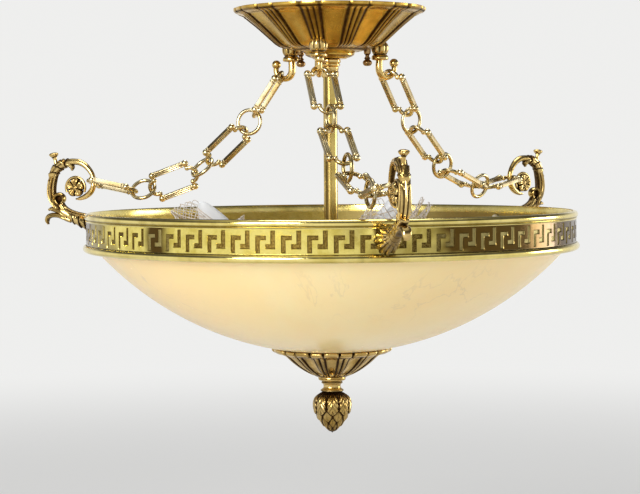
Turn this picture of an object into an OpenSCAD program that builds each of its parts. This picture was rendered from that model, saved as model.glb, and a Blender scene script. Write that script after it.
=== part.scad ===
// Neoclassical chain pendant light: a veined stone-glass bowl in a brass band, hung from a fluted
// ceiling canopy on a centre stem and three chains. Z is up. The origin is the centre of the
// canopy's rim, on the ceiling plane, and everything hangs below it. Sizes are millimetres.

/* [Canopy] */
// Radius of the canopy's lip at the ceiling
canopy_r = 87.3; // [82:0.5:92]
// Height of the canopy's turned-out lip
lip_h = 6.6; // [5:0.2:8]
// Radius where the fluted side meets the lip
side_r = 77; // [74:0.5:80]
// Radius of the shoulder at the foot of the fluted side
shoulder_r = 46.3; // [44:0.5:49]
// Depth of the shoulder below the ceiling
shoulder_h = 35; // [33:0.5:38]
// Radius of the round flange under the canopy
flange_r = 22; // [20:0.5:26]
// Depth of the flange's lowest face below the ceiling
canopy_h = 46; // [44:0.5:50]
// Thickness of the canopy's wall
canopy_wall = 1.8; // [1.2:0.1:2.4]
// Number of scallops round the lip
lip_scallops = 12; // [8:1:16]

/* [Mounting] */
// Length of the mounting strap across the inside of the canopy
strap_l = 120; // [110:1:130]
// Width of the mounting strap
strap_w = 20; // [18:0.5:26]
// Thickness of the mounting strap
strap_t = 2; // [1.5:0.1:3]
// Distance between the two ceiling screw slots
slot_spacing = 70; // [60:1:80]
// Length of each slot, end to end
slot_l = 14; // [10:0.5:18]
// Width of each slot
slot_w = 5; // [4.5:0.1:6]
// Outer radius of the threaded centre nipple
nipple_r = 5; // [4.5:0.1:5.5]
// Radius of the wire way through the nipple
nipple_bore_r = 3.6; // [3.4:0.1:3.9]
// Width across the corners of the nipple nut
nipple_nut_w = 19; // [16:0.5:22]

/* [Stem] */
// Outer radius of the stem tube
stem_r = 6.35; // [6:0.05:7]
// Wall of the stem tube
stem_wall = 1.25; // [1:0.05:1.5]
// Outer radius of the turned collar under the canopy
collar_r = 10; // [9:0.2:12]
// Height of the turned collar
collar_h = 6.8; // [5:0.2:8]
// Outer radius of the coupling between nipple and stem
coupling_r = 8; // [7.8:0.1:9]
// Height of the coupling
coupling_h = 10; // [9:0.5:12]

/* [Chain hooks] */
// Turn of the canopy and its hooks against the arms of the band, in degrees
canopy_turn = -23.5; // [-26:0.5:-20]
// Turn of each hook on its own shank, towards its arm, in degrees
hook_twist = 15; // [5:0.5:25]
// Distance of a hook's shank from the centre line
hook_stem_x = 48.2; // [46:0.2:50]
// Depth of the middle of the hook's bend below the ceiling
hook_drop = 54; // [52:0.5:57]
// Radius of the bend along the middle of the wire
hook_bend_r = 8; // [7:0.2:9]
// Radius of the hook wire
hook_wire_r = 2.5; // [2.2:0.1:2.8]
// Radius of the ball at the hook's end
hook_ball_r = 3.9; // [3.4:0.1:4.4]
// Radius of the fluted bell over the hook
bell_r = 8.2; // [7.5:0.1:9]
// Depth of the bell's mouth below the ceiling
bell_mouth_h = 46.5; // [45:0.5:49]
// Distance of the turned knobs from the centre line
knob_reach = 36; // [35:0.5:38]
// Radius of the turned knobs beside the hooks
knob_r = 4.3; // [3.8:0.1:5]

/* [Chains] */
// Length of a chain against the straight line from its hook to its arm
chain_slack = 1.096; // [1.085:0.001:1.11]
// Distance between the two long bars of a link
link_w = 24; // [20:0.5:27]
// Width of a long bar
bar_w = 5.5; // [4.5:0.1:6.5]
// Thickness of a long bar
bar_t = 4; // [3.4:0.1:4.6]
// Radius of the wire of the narrow end hoops
hoop_wire_r = 1.9; // [1.7:0.05:2.1]
// Radius of the collar balls at a link's corners
corner_ball_r = 3.4; // [3:0.1:3.8]
// Radius of a chain ring along the middle of its wire
ring_r = 11.25; // [10.8:0.05:11.8]
// Radius of the ring wire
ring_wire_r = 1.75; // [1.5:0.05:1.9]
// Play between a link and what it hangs on
chain_play = 0.5; // [0.4:0.05:0.7]

/* [Band] */
// Outer radius of the band's patterned face
band_r = 222; // [219:0.5:225]
// Wall of the band
band_wall = 3; // [2.5:0.1:3.5]
// Depth of the band's top edge below the ceiling
band_top = 184; // [180:0.5:188]
// Height of the patterned face
field_h = 20.5; // [19:0.5:23]
// Height of the top moulding
top_mould_h = 7.5; // [7.2:0.1:8.2]
// Height of the bottom moulding
bottom_mould_h = 7; // [6.8:0.1:8]
// Distance that the top roll stands proud of the face
top_proud = 1.4; // [1:0.1:2]
// Distance that the bottom roll stands proud of the face
bottom_proud = 3; // [2.4:0.1:3.4]

/* [Arms] */
// Distance of the big scroll's middle from the band's patterned face
scroll_out = 36; // [34:0.5:38]
// Height of the big scroll's middle above the band's top edge
scroll_rise = 23; // [21:0.5:25]
// Radius of the outer half of the scroll
spine_bend_r = 24; // [23:0.2:25]
// Radius of the inner half of the scroll
curl_bend_r = 19.5; // [19:0.1:20.2]
// Radius of the curl's inner end
eye_bend_r = 16; // [15.6:0.1:16.4]
// Radius of the spine's section
spine_wire_r = 4.6; // [4.2:0.1:5]
// Radius of the curl's section
curl_wire_r = 2.9; // [2.6:0.1:3.1]
// Radius of the stalk that joins the foot
stalk_wire_r = 5.2; // [4.8:0.1:5.8]
// Radius of the stalk's bend
stalk_bend_r = 62; // [60:0.5:64]
// Radius of the foot plate on the band
foot_r = 10; // [9:0.2:11]
// Radius of the rosette in the curl
rosette_r = 9.2; // [8.6:0.1:9.6]
// Radius of the arm screws
arm_screw_r = 2; // [1.6:0.1:2.4]

/* [Bowl] */
// Depth of the bowl from its rim to its lowest point
bowl_depth = 101.2; // [96:0.5:106]
// Wall of the bowl
bowl_wall = 7; // [6:0.5:8]
// Gap between the bowl's rim and the band
bowl_gap = 1.6; // [1.2:0.1:2.4]
// Distance of the rim below the top of the bottom moulding
rim_sink = 0.5; // [0.3:0.1:1]
// Clearance between the bowl and what it rests on
seat_gap = 0.3; // [0.2:0.05:0.4]
// Radius of the hole in the bottom of the bowl
bowl_hole_r = 7; // [5.5:0.5:8]

/* [Bottom fittings] */
// Radius of the fluted cup where it meets the bowl
cup_r = 55; // [52:0.5:58]
// Depth of the cup
cup_h = 28.5; // [27:0.5:31]
// Radius of the cup's lower end
cup_foot_r = 13; // [12:0.5:15]
// Wall of the cup
cup_wall = 1.8; // [1.4:0.1:2.2]
// Radius of the neck between cup and pine cone
neck_r = 7.8; // [7:0.1:8.6]
// Height of the neck
neck_h = 13; // [11:0.5:15]
// Widest radius of the pine cone
cone_r = 17.2; // [15:0.2:19]
// Height of the pine cone
cone_h = 38; // [34:0.5:42]
// Radius of the centre rod
rod_r = 4; // [3.5:0.1:4.5]
// Running clearance of the parts that turn on a thread
thread_gap = 0.05; // [0.03:0.01:0.08]
// Width across the corners of the bowl nut
bowl_nut_w = 18; // [16:0.5:20]
// Radius of the soft washer inside the bowl
washer_r = 20; // [17:0.5:23]

/* [Lamps] */
// Turn of the lamps against the arms, in degrees
lamp_turn = 17.5; // [10:0.5:25]
// Tilt of each lamp from upright, in degrees
lamp_tilt = 32; // [28:0.5:34]
// Distance of a bulb's tip from the centre line
tip_reach = 120; // [116:0.5:124]
// Height of the bulb tips above the band's top edge
tip_rise = 9; // [6:0.5:12]
// Length of a bulb's glass
bulb_l = 78; // [74:0.5:82]
// Widest radius of a bulb
bulb_r = 17.5; // [16:0.25:19]
// Radius of the bulb's screw cap
cap_r = 7; // [6.6:0.1:7.4]
// Length of the screw cap
cap_l = 20; // [18:0.5:22]
// Outer radius of the lamp socket
socket_r = 12.5; // [11.5:0.25:13.5]
// Outer radius of the hub that carries the sockets
hub_r = 14; // [12:0.5:17]
// Height of the hub
hub_h = 20; // [18:0.5:22]
// Radius of the tubes between hub and sockets
branch_r = 4; // [3.5:0.1:4.5]
// Strands each way round a net sleeve
net_strands = 6; // [5:1:9]
// Diameter of a net strand
net_wire_d = 0.8; // [0.7:0.05:1]

/* [Hidden] */
$fn = 72;

arm_step = 120;
brass = [0.78, 0.6, 0.27];
old_brass = [0.6, 0.45, 0.2];
steel = [0.7, 0.71, 0.72];
cream = [0.96, 0.9, 0.78];
frosted = [0.9, 0.92, 0.93, 0.7];
far = 400;

side_h = lip_h + 1.9;
flange_foot_r = flange_r * 0.7;
side_bulge = 0.2;
flange_drop = canopy_h - shoulder_h;
lip_edge_h = lip_h * 0.36;
notch_r = 3;
turning_gap = 0.1;
fitting_gap = 0.05;
hole_gap = 0.3;

nut_h = 5;
collar_z = -canopy_h - turning_gap;
coupling_z = collar_z - collar_h - turning_gap;
nipple_low_z = coupling_z - coupling_h / 2;
stem_bore_r = stem_r - stem_wall;

hook_end_a = 28;
bell_h = 19;
bell_top_z = bell_h - bell_mouth_h;
stud_r = 2.5;
hook_nut_r = 5;
hook_nut_h = 4;

hoop_r = 7;
hoop_bite = hoop_wire_r + ring_wire_r + chain_play;
hook_pull_a = 50;
hook_bite = hook_bend_r - hook_wire_r - hoop_wire_r - chain_play;

band_z = -band_top;
field_z = band_z - top_mould_h;
field_low_z = field_z - field_h;
band_low_z = field_low_z - bottom_mould_h;
band_in_r = band_r - band_wall;
top_roll_r = top_mould_h * 0.45;
bottom_roll_r = bottom_mould_h * 0.47;
roll_step = 0.4;
top_roll_x = band_r + top_proud - top_roll_r;
bottom_roll_x = band_r + bottom_proud - bottom_roll_r;

scroll_reach = band_r + scroll_out;
spine_z = band_z + scroll_rise;
scroll_top_z = spine_z + spine_bend_r;
curl_z = scroll_top_z - curl_bend_r;
curl_in_x = scroll_reach - curl_bend_r;
eye_x = curl_in_x + eye_bend_r;
eye_end_a = 278;
stalk_a = 45;
stalk_end_a = 80;
spine_low_x = scroll_reach + spine_bend_r * cos(stalk_a);
spine_low_z = spine_z - spine_bend_r * sin(stalk_a);
stalk_x = spine_low_x - stalk_bend_r * cos(stalk_a);
stalk_z = spine_low_z + stalk_bend_r * sin(stalk_a);
foot_z = (field_z + field_low_z) / 2;
foot_t = 5;
foot_join_a = 75;
rosette_z = spine_z - 2.1;
petal_turn = -48;
screw_pitch = foot_r * 0.5;
screw_l = band_wall + foot_t - 0.6;
screw_head_r = 3.6;
screw_head_h = 2.4;

rim_r = band_in_r - bowl_gap;
rim_z = field_low_z - rim_sink;
bowl_r = (rim_r * rim_r + bowl_depth * bowl_depth) / (2 * bowl_depth);
bowl_low_z = rim_z - bowl_depth;
bowl_mid_z = bowl_low_z + bowl_r;
bowl_in_r = bowl_r - bowl_wall;

washer_t = 3;
washer_z = bowl_mid_z - sqrt(bowl_in_r * bowl_in_r - washer_r * washer_r) + fitting_gap;
bowl_nut_z = washer_z + washer_t;
hub_z = bowl_nut_z + nut_h;
hub_top_z = hub_z + hub_h;
stem_seat = 6;
rod_seat = 8;
stem_low_z = hub_top_z - stem_seat;

cup_z = bowl_mid_z - sqrt(bowl_r * bowl_r - cup_r * cup_r);
cup_low_z = cup_z - cup_h;
neck_z = cup_low_z - turning_gap;
cone_z = neck_z - neck_h;
rod_in_cone = cone_h * 0.4;

socket_floor = 8;
elbow_r = 8;
rim_gap = 0.4;
socket_low = -bulb_l - cap_l - socket_floor;
elbow_s = socket_low - elbow_r * 0.75;
glass_wall = 1;
net_low = -0.72 * bulb_l;
net_high = 6;
net_r = bulb_r + 0.9;
net_flare = 1.42;
net_twist = 105;
wire_r = 1.2;
wire_x = nipple_bore_r - wire_r - hole_gap;
wire_top_z = -strap_t - nut_h - 5;

// Turns what is drawn along +X to an azimuth, counted from -Y towards +X
module at_azimuth(a) rotate([0, 0, a - 90]) children();

// A bent wire in the XZ plane, from angle a0 to a1 counted from +X towards +Z
module bent_wire(x, z, bend_r, wire_r, a0, a1) {
    translate([x, 0, z]) rotate([90, 0, 0]) rotate([0, 0, a0])
        rotate_extrude(angle = a1 - a0) translate([bend_r, 0]) circle(wire_r);
}

// A straight or tapered rod between two points of the XZ plane
module straight_rod(x0, z0, x1, z1, r0, r1) {
    translate([x0, 0, z0]) rotate([0, atan2(x1 - x0, z1 - z0), 0])
        cylinder(h = norm([x1 - x0, z1 - z0]), r1 = r0, r2 = r1);
}

module ball(x, z, r) translate([x, 0, z]) sphere(r);

// CANOPY
// Depth of the fluted side at the share t of the way from the lip to the shoulder
function side_depth(t) = side_h + (shoulder_h - side_h) * (t - side_bulge * t * (1 - t));
function depth_at(r) = side_depth((side_r - r) / (side_r - shoulder_r));

// Outline of the canopy from its rim to its shoulder, moved in and up by a wall
function canopy_side(wall) = concat(
    [[canopy_r - wall, 0], [canopy_r - wall, -lip_edge_h + wall],
        [canopy_r - 3 - wall, -lip_h + wall]],
    [for (t = [0 : 1 / 6 : 1.01])
        [side_r - t * (side_r - shoulder_r) - wall, -side_depth(t) + wall]],
    [[shoulder_r * 0.8 - wall, -shoulder_h - flange_drop * 0.13 + wall],
        [shoulder_r * 0.67 - wall, -shoulder_h - flange_drop * 0.41 + wall]]);

module canopy_outside() rotate_extrude() polygon(concat([[0, 0]], canopy_side(0),
    [[flange_r + 1.5, -shoulder_h - flange_drop * 0.5],
        [flange_r, -shoulder_h - flange_drop * 0.66],
        [flange_foot_r, -canopy_h], [0, -canopy_h]]));

module canopy_inside() rotate_extrude() polygon(concat(
    [[0, 1], [canopy_r - canopy_wall, 1]], canopy_side(canopy_wall),
    [[0, -shoulder_h - flange_drop * 0.41 + canopy_wall]]));

module canopy() color(brass) difference() {
    canopy_outside();
    canopy_inside();
    cylinder(h = far, r = nipple_r + hole_gap, center = true);
    for (i = [0 : 2]) at_azimuth(arm_step * i + canopy_turn)
        translate([hook_stem_x, 0, -canopy_h]) cylinder(h = canopy_h, r = stud_r + hole_gap);
    for (i = [0 : lip_scallops - 1]) at_azimuth(canopy_turn + 360 * i / lip_scallops)
        translate([canopy_r + notch_r * 0.55, 0, -lip_h]) cylinder(h = far, r = notch_r);
}

module mounting_strap() color(steel) difference() {
    translate([-strap_l / 2, -strap_w / 2, -strap_t]) cube([strap_l, strap_w, strap_t]);
    cylinder(h = far, r = nipple_r, center = true);
    for (x = [-slot_spacing / 2, slot_spacing / 2]) translate([x, 0, -far / 2]) {
        for (s = [-1, 1]) translate([s * (slot_l - slot_w) / 2, 0, 0])
            cylinder(h = far, r = slot_w / 2);
        translate([-(slot_l - slot_w) / 2, -slot_w / 2, 0]) cube([slot_l - slot_w, slot_w, far]);
    }
}

module threaded_nipple() color(brass) difference() {
    translate([0, 0, nipple_low_z]) cylinder(h = -nipple_low_z, r = nipple_r);
    cylinder(h = far, r = nipple_bore_r, center = true);
}

module nipple_nut() color(steel) translate([0, 0, -strap_t - nut_h]) difference() {
    cylinder(h = nut_h, d = nipple_nut_w, $fn = 6);
    cylinder(h = far, r = nipple_r, center = true);
}

// STEM
module canopy_collar() color(brass) difference() {
    rotate_extrude() polygon([[0, collar_z], [collar_r * 0.85, collar_z],
        [collar_r, collar_z - collar_h * 0.2], [collar_r, collar_z - collar_h * 0.45],
        [collar_r * 0.88, collar_z - collar_h * 0.55], [collar_r * 0.95, collar_z - collar_h * 0.8],
        [collar_r * 0.85, collar_z - collar_h], [0, collar_z - collar_h]]);
    cylinder(h = far, r = nipple_r + thread_gap, center = true);
}

module stem_coupling() color(brass) difference() {
    translate([0, 0, coupling_z - coupling_h]) cylinder(h = coupling_h, r = coupling_r);
    translate([0, 0, nipple_low_z]) cylinder(h = far, r = nipple_r);
    translate([0, 0, nipple_low_z - far]) cylinder(h = far, r = stem_r);
}

module stem_tube() color(brass) difference() {
    translate([0, 0, stem_low_z]) cylinder(h = nipple_low_z - stem_low_z, r = stem_r);
    cylinder(h = 2 * far, r = stem_bore_r, center = true);
}

module feed_wires() color("ivory") for (s = [-1, 1])
    translate([s * wire_x, 0, stem_low_z]) cylinder(h = wire_top_z - stem_low_z, r = wire_r);

// CHAIN HOOKS
module hook_bell() translate([hook_stem_x, 0, 0]) rotate_extrude() polygon([
    [0, bell_top_z], [bell_r * 0.55, bell_top_z - 0.3], [bell_r * 0.88, bell_top_z - 3],
    [bell_r, bell_top_z - 7], [bell_r * 0.93, bell_top_z - 12], [bell_r * 0.73, bell_top_z - 13.8],
    [bell_r * 0.9, bell_top_z - 15.7], [bell_r * 0.93, -bell_mouth_h],
    [bell_r * 0.64, -bell_mouth_h], [bell_r * 0.56, -bell_mouth_h + 4], [0, -bell_mouth_h + 4]]);

module chain_hook(i) color(brass) at_azimuth(arm_step * i + canopy_turn) {
    difference() {
        hook_bell();
        translate([0, 0, -fitting_gap]) canopy_outside();
    }
    translate([hook_stem_x, 0, -hook_drop]) rotate([0, 0, hook_twist]) {
        cylinder(h = hook_drop - bell_mouth_h + 5, r = hook_wire_r);
        bent_wire(hook_bend_r, 0, hook_bend_r, hook_wire_r, 180, 360 + hook_end_a);
        ball(hook_bend_r * (1 + cos(hook_end_a)), hook_bend_r * sin(hook_end_a), hook_ball_r);
    }
    translate([hook_stem_x, 0, -shoulder_h]) cylinder(h = shoulder_h + stud_top_z, r = stud_r);
}

// The nuts stand on saddles that fill the slope of the canopy's inside
nut_seat_z = -depth_at(hook_stem_x + hook_nut_r + canopy_wall + 1) + canopy_wall;
stud_top_z = nut_seat_z + hook_nut_h + 1.5;

module hook_nuts() color(steel) for (i = [0 : 2]) at_azimuth(arm_step * i + canopy_turn)
    difference() {
        union() {
            intersection() {
                translate([0, 0, fitting_gap]) canopy_inside();
                translate([hook_stem_x, 0, -shoulder_h])
                    cylinder(h = shoulder_h + nut_seat_z, r = hook_nut_r);
            }
            translate([hook_stem_x, 0, nut_seat_z]) cylinder(h = hook_nut_h, r = hook_nut_r, $fn = 6);
        }
        translate([hook_stem_x, 0, 0]) cylinder(h = far, r = stud_r, center = true);
    }

module hook_knobs() color(old_brass) for (i = [0 : 2]) at_azimuth(arm_step * i + canopy_turn)
    difference() {
        translate([knob_reach, 0, -bell_mouth_h]) rotate_extrude() polygon([
            [0, 12], [knob_r * 0.7, 12], [knob_r * 0.72, 6], [knob_r * 0.45, 4.6],
            [knob_r * 0.45, 2.6], [knob_r * 0.7, 1.6], [knob_r * 0.5, 0.4], [knob_r, -1.6],
            [knob_r, -3.4], [knob_r * 0.6, -5.2], [0, -5.8]]);
        translate([0, 0, -fitting_gap]) canopy_outside();
    }

// CHAINS
// A chain hangs in the upright plane through its hook and its arm's curl. Its four links and the
// three rings between them follow a hanging polygon of seven sides, whose slopes fall by equal
// steps. A side starts and ends at the middle of a ring's wire, or at an end bar.
hang_x = hook_bend_r + hook_bite * cos(hook_pull_a);
hook_a = canopy_turn + hook_twist;
chain_top = [hook_stem_x * cos(canopy_turn) + hang_x * cos(hook_a),
    hook_stem_x * sin(canopy_turn) + hang_x * sin(hook_a),
    -hook_drop - hook_bite * sin(hook_pull_a)];
chain_foot = [curl_in_x + curl_wire_r + hoop_wire_r + chain_play, 0, curl_z];
chain_run = norm([chain_foot[0] - chain_top[0], chain_foot[1] - chain_top[1]]);
chain_fall = chain_top[2] - chain_foot[2];
chain_heading = atan2(chain_foot[1] - chain_top[1], chain_foot[0] - chain_top[0]);
sides = 7;
rings_l = (sides - 1) * ring_r;
link_pitch = (chain_slack * norm([chain_run, chain_fall]) - rings_l + (sides - 1) * hoop_bite) / 4;
hoop_x = link_pitch / 2 - hoop_r;
side_l = [for (i = [0 : sides - 1]) i % 2 == 1 ? 2 * ring_r
    : link_pitch - (i == 0 || i == sides - 1 ? 1 : 2) * hoop_bite];

function slope(i, middle, change) = atan(middle + ((sides - 1) / 2 - i) * change);
function run_of(middle, change, n = sides) = n == 0 ? 0
    : side_l[n - 1] * cos(slope(n - 1, middle, change)) + run_of(middle, change, n - 1);
function fall_of(middle, change, n = sides) = n == 0 ? 0
    : side_l[n - 1] * sin(slope(n - 1, middle, change)) + fall_of(middle, change, n - 1);

// Halves an interval until the polygon's fall and run have the right ratio, then the right length
function middle_for(change, lo, hi, n = 24) = let(m = (lo + hi) / 2) n == 0 ? m
    : fall_of(m, change) * chain_run > run_of(m, change) * chain_fall
        ? middle_for(change, lo, m, n - 1) : middle_for(change, m, hi, n - 1);
function change_for(lo, hi, n = 24) = let(c = (lo + hi) / 2) n == 0 ? c
    : run_of(middle_for(c, -1, 3), c) > chain_run
        ? change_for(c, hi, n - 1) : change_for(lo, c, n - 1);

slope_change = change_for(0, 1);
slope_middle = middle_for(slope_change, -1, 3);
side_slope = [for (i = [0 : sides - 1]) slope(i, slope_middle, slope_change)];
function joint_at(i) = [run_of(slope_middle, slope_change, i), -fall_of(slope_middle, slope_change, i)];

// Roll of each link and ring about the chain, in degrees, for each of the three chains
link_roll = [[0, 1, -2, 3], [0, 1, -1, 2], [0, 40, 72, 14]];
ring_roll = [[0, 0, 0], [8, 14, 20], [10, 58, 43]];

module in_chain(c) at_azimuth(arm_step * c) translate(chain_top)
    rotate([0, 0, chain_heading]) children();

module link_body() {
    for (s = [-1, 1]) {
        translate([-hoop_x, s * link_w / 2 - bar_w / 2, -bar_t / 2])
            cube([2 * hoop_x, bar_w, bar_t]);
        for (e = [-1, 1]) {
            translate([e * hoop_x, s * link_w / 2, 0]) rotate([0, 0, atan2(s, e)])
                sphere(corner_ball_r);
            translate([e * hoop_x, s * hoop_r, 0]) rotate([0, 0, atan2(-s, -e)])
                sphere(hoop_wire_r + 0.7);
            translate([e * hoop_x, s * hoop_r, 0]) rotate([-90 * s, 0, 0])
                cylinder(h = link_w / 2 - hoop_r, r = hoop_wire_r);
        }
        translate([s * hoop_x, 0, 0]) rotate([0, 0, -90 * s])
            rotate_extrude(angle = 180) translate([hoop_r, 0]) circle(hoop_wire_r);
    }
}

module chain_link(c, i) color(brass) in_chain(c) {
    along = link_pitch / 2 - (i == 0 ? 0 : hoop_bite);
    p = joint_at(2 * i);
    translate([p[0], 0, p[1]]) rotate([0, side_slope[2 * i], 0]) translate([along, 0, 0])
        rotate([link_roll[c][i], 0, 0]) link_body();
}

module chain_ring(c, i) color(brass) in_chain(c) {
    p = joint_at(2 * i - 1);
    translate([p[0], 0, p[1]]) rotate([0, side_slope[2 * i - 1], 0]) translate([ring_r, 0, 0])
        rotate([90 + ring_roll[c][i - 1], 0, 0])
            rotate_extrude() translate([ring_r, 0]) circle(ring_wire_r);
}

// BAND
module key_band() color(brass) difference() {
    translate([0, 0, field_low_z]) cylinder(h = field_h, r = band_r);
    cylinder(h = 2 * far, r = band_in_r, center = true);
    for (i = [0 : 2]) at_azimuth(arm_step * i) for (s = [-1, 1])
        translate([band_in_r - 5, 0, foot_z + s * screw_pitch]) rotate([0, 90, 0])
            cylinder(h = 10, r = arm_screw_r + hole_gap);
}

module top_moulding() color(brass) rotate_extrude() union() {
    translate([band_in_r, field_z]) square([band_wall, top_mould_h - top_roll_r]);
    translate([top_roll_x, band_z - top_roll_r]) circle(top_roll_r);
}

function bowl_r_at(z) = sqrt(bowl_r * bowl_r - (z - bowl_mid_z) * (z - bowl_mid_z));

module bottom_moulding() color(brass) {
    rotate_extrude() polygon([[bowl_r_at(field_low_z) + seat_gap, field_low_z],
        [bowl_r_at(band_low_z + roll_step) + seat_gap, band_low_z + roll_step],
        [band_r - roll_step, band_low_z + roll_step], [band_r - roll_step, field_low_z]]);
    rotate_extrude() translate([bottom_roll_x, band_low_z + bottom_roll_r])
        circle(bottom_roll_r);
}

// The band's outside, grown by a gap, which the feet of the arms are cut to
module band_outside(gap) {
    translate([0, 0, band_low_z]) cylinder(h = band_z - band_low_z, r = band_r + gap);
    rotate_extrude() translate([top_roll_x, band_z - top_roll_r]) circle(top_roll_r + gap);
    rotate_extrude() translate([bottom_roll_x, band_low_z + bottom_roll_r])
        circle(bottom_roll_r + gap);
}

// SCROLL ARMS
module rosette() translate([scroll_reach, 0, rosette_z]) rotate([90, 0, 0]) {
    for (p = [0 : 4]) rotate([0, 0, 72 * p + 80]) translate([rosette_r * 0.58, 0, 0])
        rotate([0, 0, petal_turn]) sphere(rosette_r * 0.41);
    sphere(rosette_r * 0.5);
}

module arm_leaves() {
    leaf_x = scroll_reach + spine_bend_r - 3;
    leaf_z = spine_low_z - 10.8;
    leaf_bend_r = 9;
    straight_rod(spine_low_x - 11, spine_low_z - 8, leaf_x, leaf_z, 3.4, 2.6);
    bent_wire(leaf_x, leaf_z - leaf_bend_r, leaf_bend_r, 2.5, 5, 90);
    ball(leaf_x + leaf_bend_r, leaf_z - leaf_bend_r + 0.8, 2.8);
    straight_rod(spine_low_x - 3, spine_low_z - 3, leaf_x + 7, spine_low_z - 4.6, 3.2, 1.6);
    bent_wire(spine_low_x - 3.5, spine_low_z + 5.5, 3.2, 1.9, 0, 360);
    ball(spine_low_x - 3.5, spine_low_z + 5.5, 1.7);
    straight_rod(scroll_reach + spine_bend_r - 2, spine_z + 7, scroll_reach + spine_bend_r + 5.5,
        spine_z + 14, 3.4, 1.2);
    ball(scroll_reach + 5, scroll_top_z - 6, 3);
}

module arm_bud() {
    straight_rod(scroll_reach + 16, scroll_top_z - 5.5, scroll_reach + 20.4, scroll_top_z + 2.4,
        2.4, 1.9);
    ball(scroll_reach + 20.9, scroll_top_z + 3, 3.8);
}

module scroll_arm(i) color(brass) at_azimuth(arm_step * i) difference() {
    union() {
        bent_wire(scroll_reach, spine_z, spine_bend_r, spine_wire_r, -stalk_a, 90);
        ball(scroll_reach, scroll_top_z, spine_wire_r + 0.4);
        bent_wire(scroll_reach, curl_z, curl_bend_r, curl_wire_r, 90, 180);
        bent_wire(eye_x, curl_z, eye_bend_r, curl_wire_r, 180, eye_end_a);
        bent_wire(stalk_x, stalk_z, stalk_bend_r, stalk_wire_r, -stalk_end_a, -stalk_a);
        ball(spine_low_x, spine_low_z, stalk_wire_r + 0.4);
        straight_rod(band_r, foot_z, stalk_x + stalk_bend_r * cos(foot_join_a),
            stalk_z - stalk_bend_r * sin(foot_join_a), foot_r * 0.85, stalk_wire_r - 0.4);
        translate([band_r - 1, 0, foot_z]) rotate([0, 90, 0]) cylinder(h = foot_t + 1, r = foot_r);
        rosette();
        arm_leaves();
        arm_bud();
    }
    band_outside(fitting_gap);
    for (s = [-1, 1]) translate([band_r - 5, 0, foot_z + s * screw_pitch]) rotate([0, 90, 0])
        cylinder(h = screw_l - band_wall + 5, r = arm_screw_r);
}

module arm_screws() color(steel) for (i = [0 : 2]) at_azimuth(arm_step * i) for (s = [-1, 1])
    translate([band_in_r - hole_gap, 0, foot_z + s * screw_pitch]) rotate([0, 90, 0]) {
        cylinder(h = screw_l + hole_gap, r = arm_screw_r);
        translate([0, 0, -screw_head_h]) cylinder(h = screw_head_h, r = screw_head_r);
    }

// BOWL
module glass_bowl() color(cream) difference() {
    translate([0, 0, bowl_mid_z]) sphere(bowl_r, $fn = 200);
    translate([0, 0, bowl_mid_z]) sphere(bowl_in_r, $fn = 200);
    translate([0, 0, rim_z]) cylinder(h = 2 * far, r = far);
    cylinder(h = 4 * far, r = bowl_hole_r, center = true);
}

module bowl_washer() color("dimgray") translate([0, 0, washer_z]) difference() {
    cylinder(h = washer_t, r = washer_r);
    cylinder(h = far, r = rod_r + hole_gap, center = true);
}

module bowl_nut() color(brass) translate([0, 0, bowl_nut_z]) difference() {
    cylinder(h = nut_h, d = bowl_nut_w, $fn = 6);
    cylinder(h = far, r = rod_r, center = true);
}

// BOTTOM FITTINGS
// Outline of the cup from its rim down, moved in by a wall
function cup_side(wall, last) = [for (t = [0 : 1 / 10 : last + 0.01])
    [max(rod_r + 4, cup_foot_r + (cup_r - cup_foot_r) * pow(max(0, 1 - t), 0.75) - wall),
        cup_z - cup_h * t]];

module bottom_cup() color(brass) difference() {
    rotate_extrude() polygon(concat([[0, cup_z]], cup_side(0, 1), [[0, cup_low_z]]));
    rotate_extrude() polygon(concat([[0, cup_z + 1], [cup_r - cup_wall * 1.3, cup_z + 1]],
        cup_side(cup_wall * 1.3, 0.9), [[0, cup_z - cup_h * 0.9]]));
    translate([0, 0, bowl_mid_z]) sphere(bowl_r + seat_gap, $fn = 200);
    cylinder(h = 2 * far, r = rod_r + hole_gap, center = true);
}

module finial_neck() color(brass) difference() {
    translate([0, 0, neck_z]) rotate_extrude() polygon([[0, 0], [cup_foot_r - 0.5, 0],
        [cup_foot_r - 0.5, -neck_h * 0.13], [neck_r * 1.12, -neck_h * 0.24],
        [neck_r, -neck_h * 0.55], [neck_r * 1.1, -neck_h * 0.74], [neck_r * 1.35, -neck_h * 0.84],
        [neck_r * 1.35, -neck_h * 0.96], [neck_r, -neck_h], [0, -neck_h]]);
    cylinder(h = 2 * far, r = rod_r + thread_gap, center = true);
}

// Half width of the pine cone at the share t of the way down
function cone_width(t) = cone_r * pow(sin(180 * pow(0.12 + 0.88 * t, 0.8)), 0.75);

module pine_cone() color(brass) difference() {
    rotate_extrude() polygon(concat([[0, cone_z]],
        [for (t = [0 : 1 / 12 : 0.999]) [cone_width(t), cone_z - cone_h * t]],
        [[0, cone_z - cone_h]]));
    translate([0, 0, cone_z - rod_in_cone - 1]) cylinder(h = far, r = rod_r + thread_gap);
}

module centre_rod() color(steel) translate([0, 0, cone_z - rod_in_cone])
    cylinder(h = hub_z + rod_seat - cone_z + rod_in_cone, r = rod_r);

// LAMPS
// Turns what is drawn along +Z into a lamp's place, with the bulb's tip at the origin
module in_lamp(i) at_azimuth(lamp_turn + arm_step * i)
    translate([tip_reach, 0, band_z + tip_rise]) rotate([0, lamp_tilt, 0]) children();

elbow_x = tip_reach + elbow_s * sin(lamp_tilt);
elbow_z = band_z + tip_rise + elbow_s * cos(lamp_tilt);
branch_z = hub_z + hub_h * 0.5;

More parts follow.
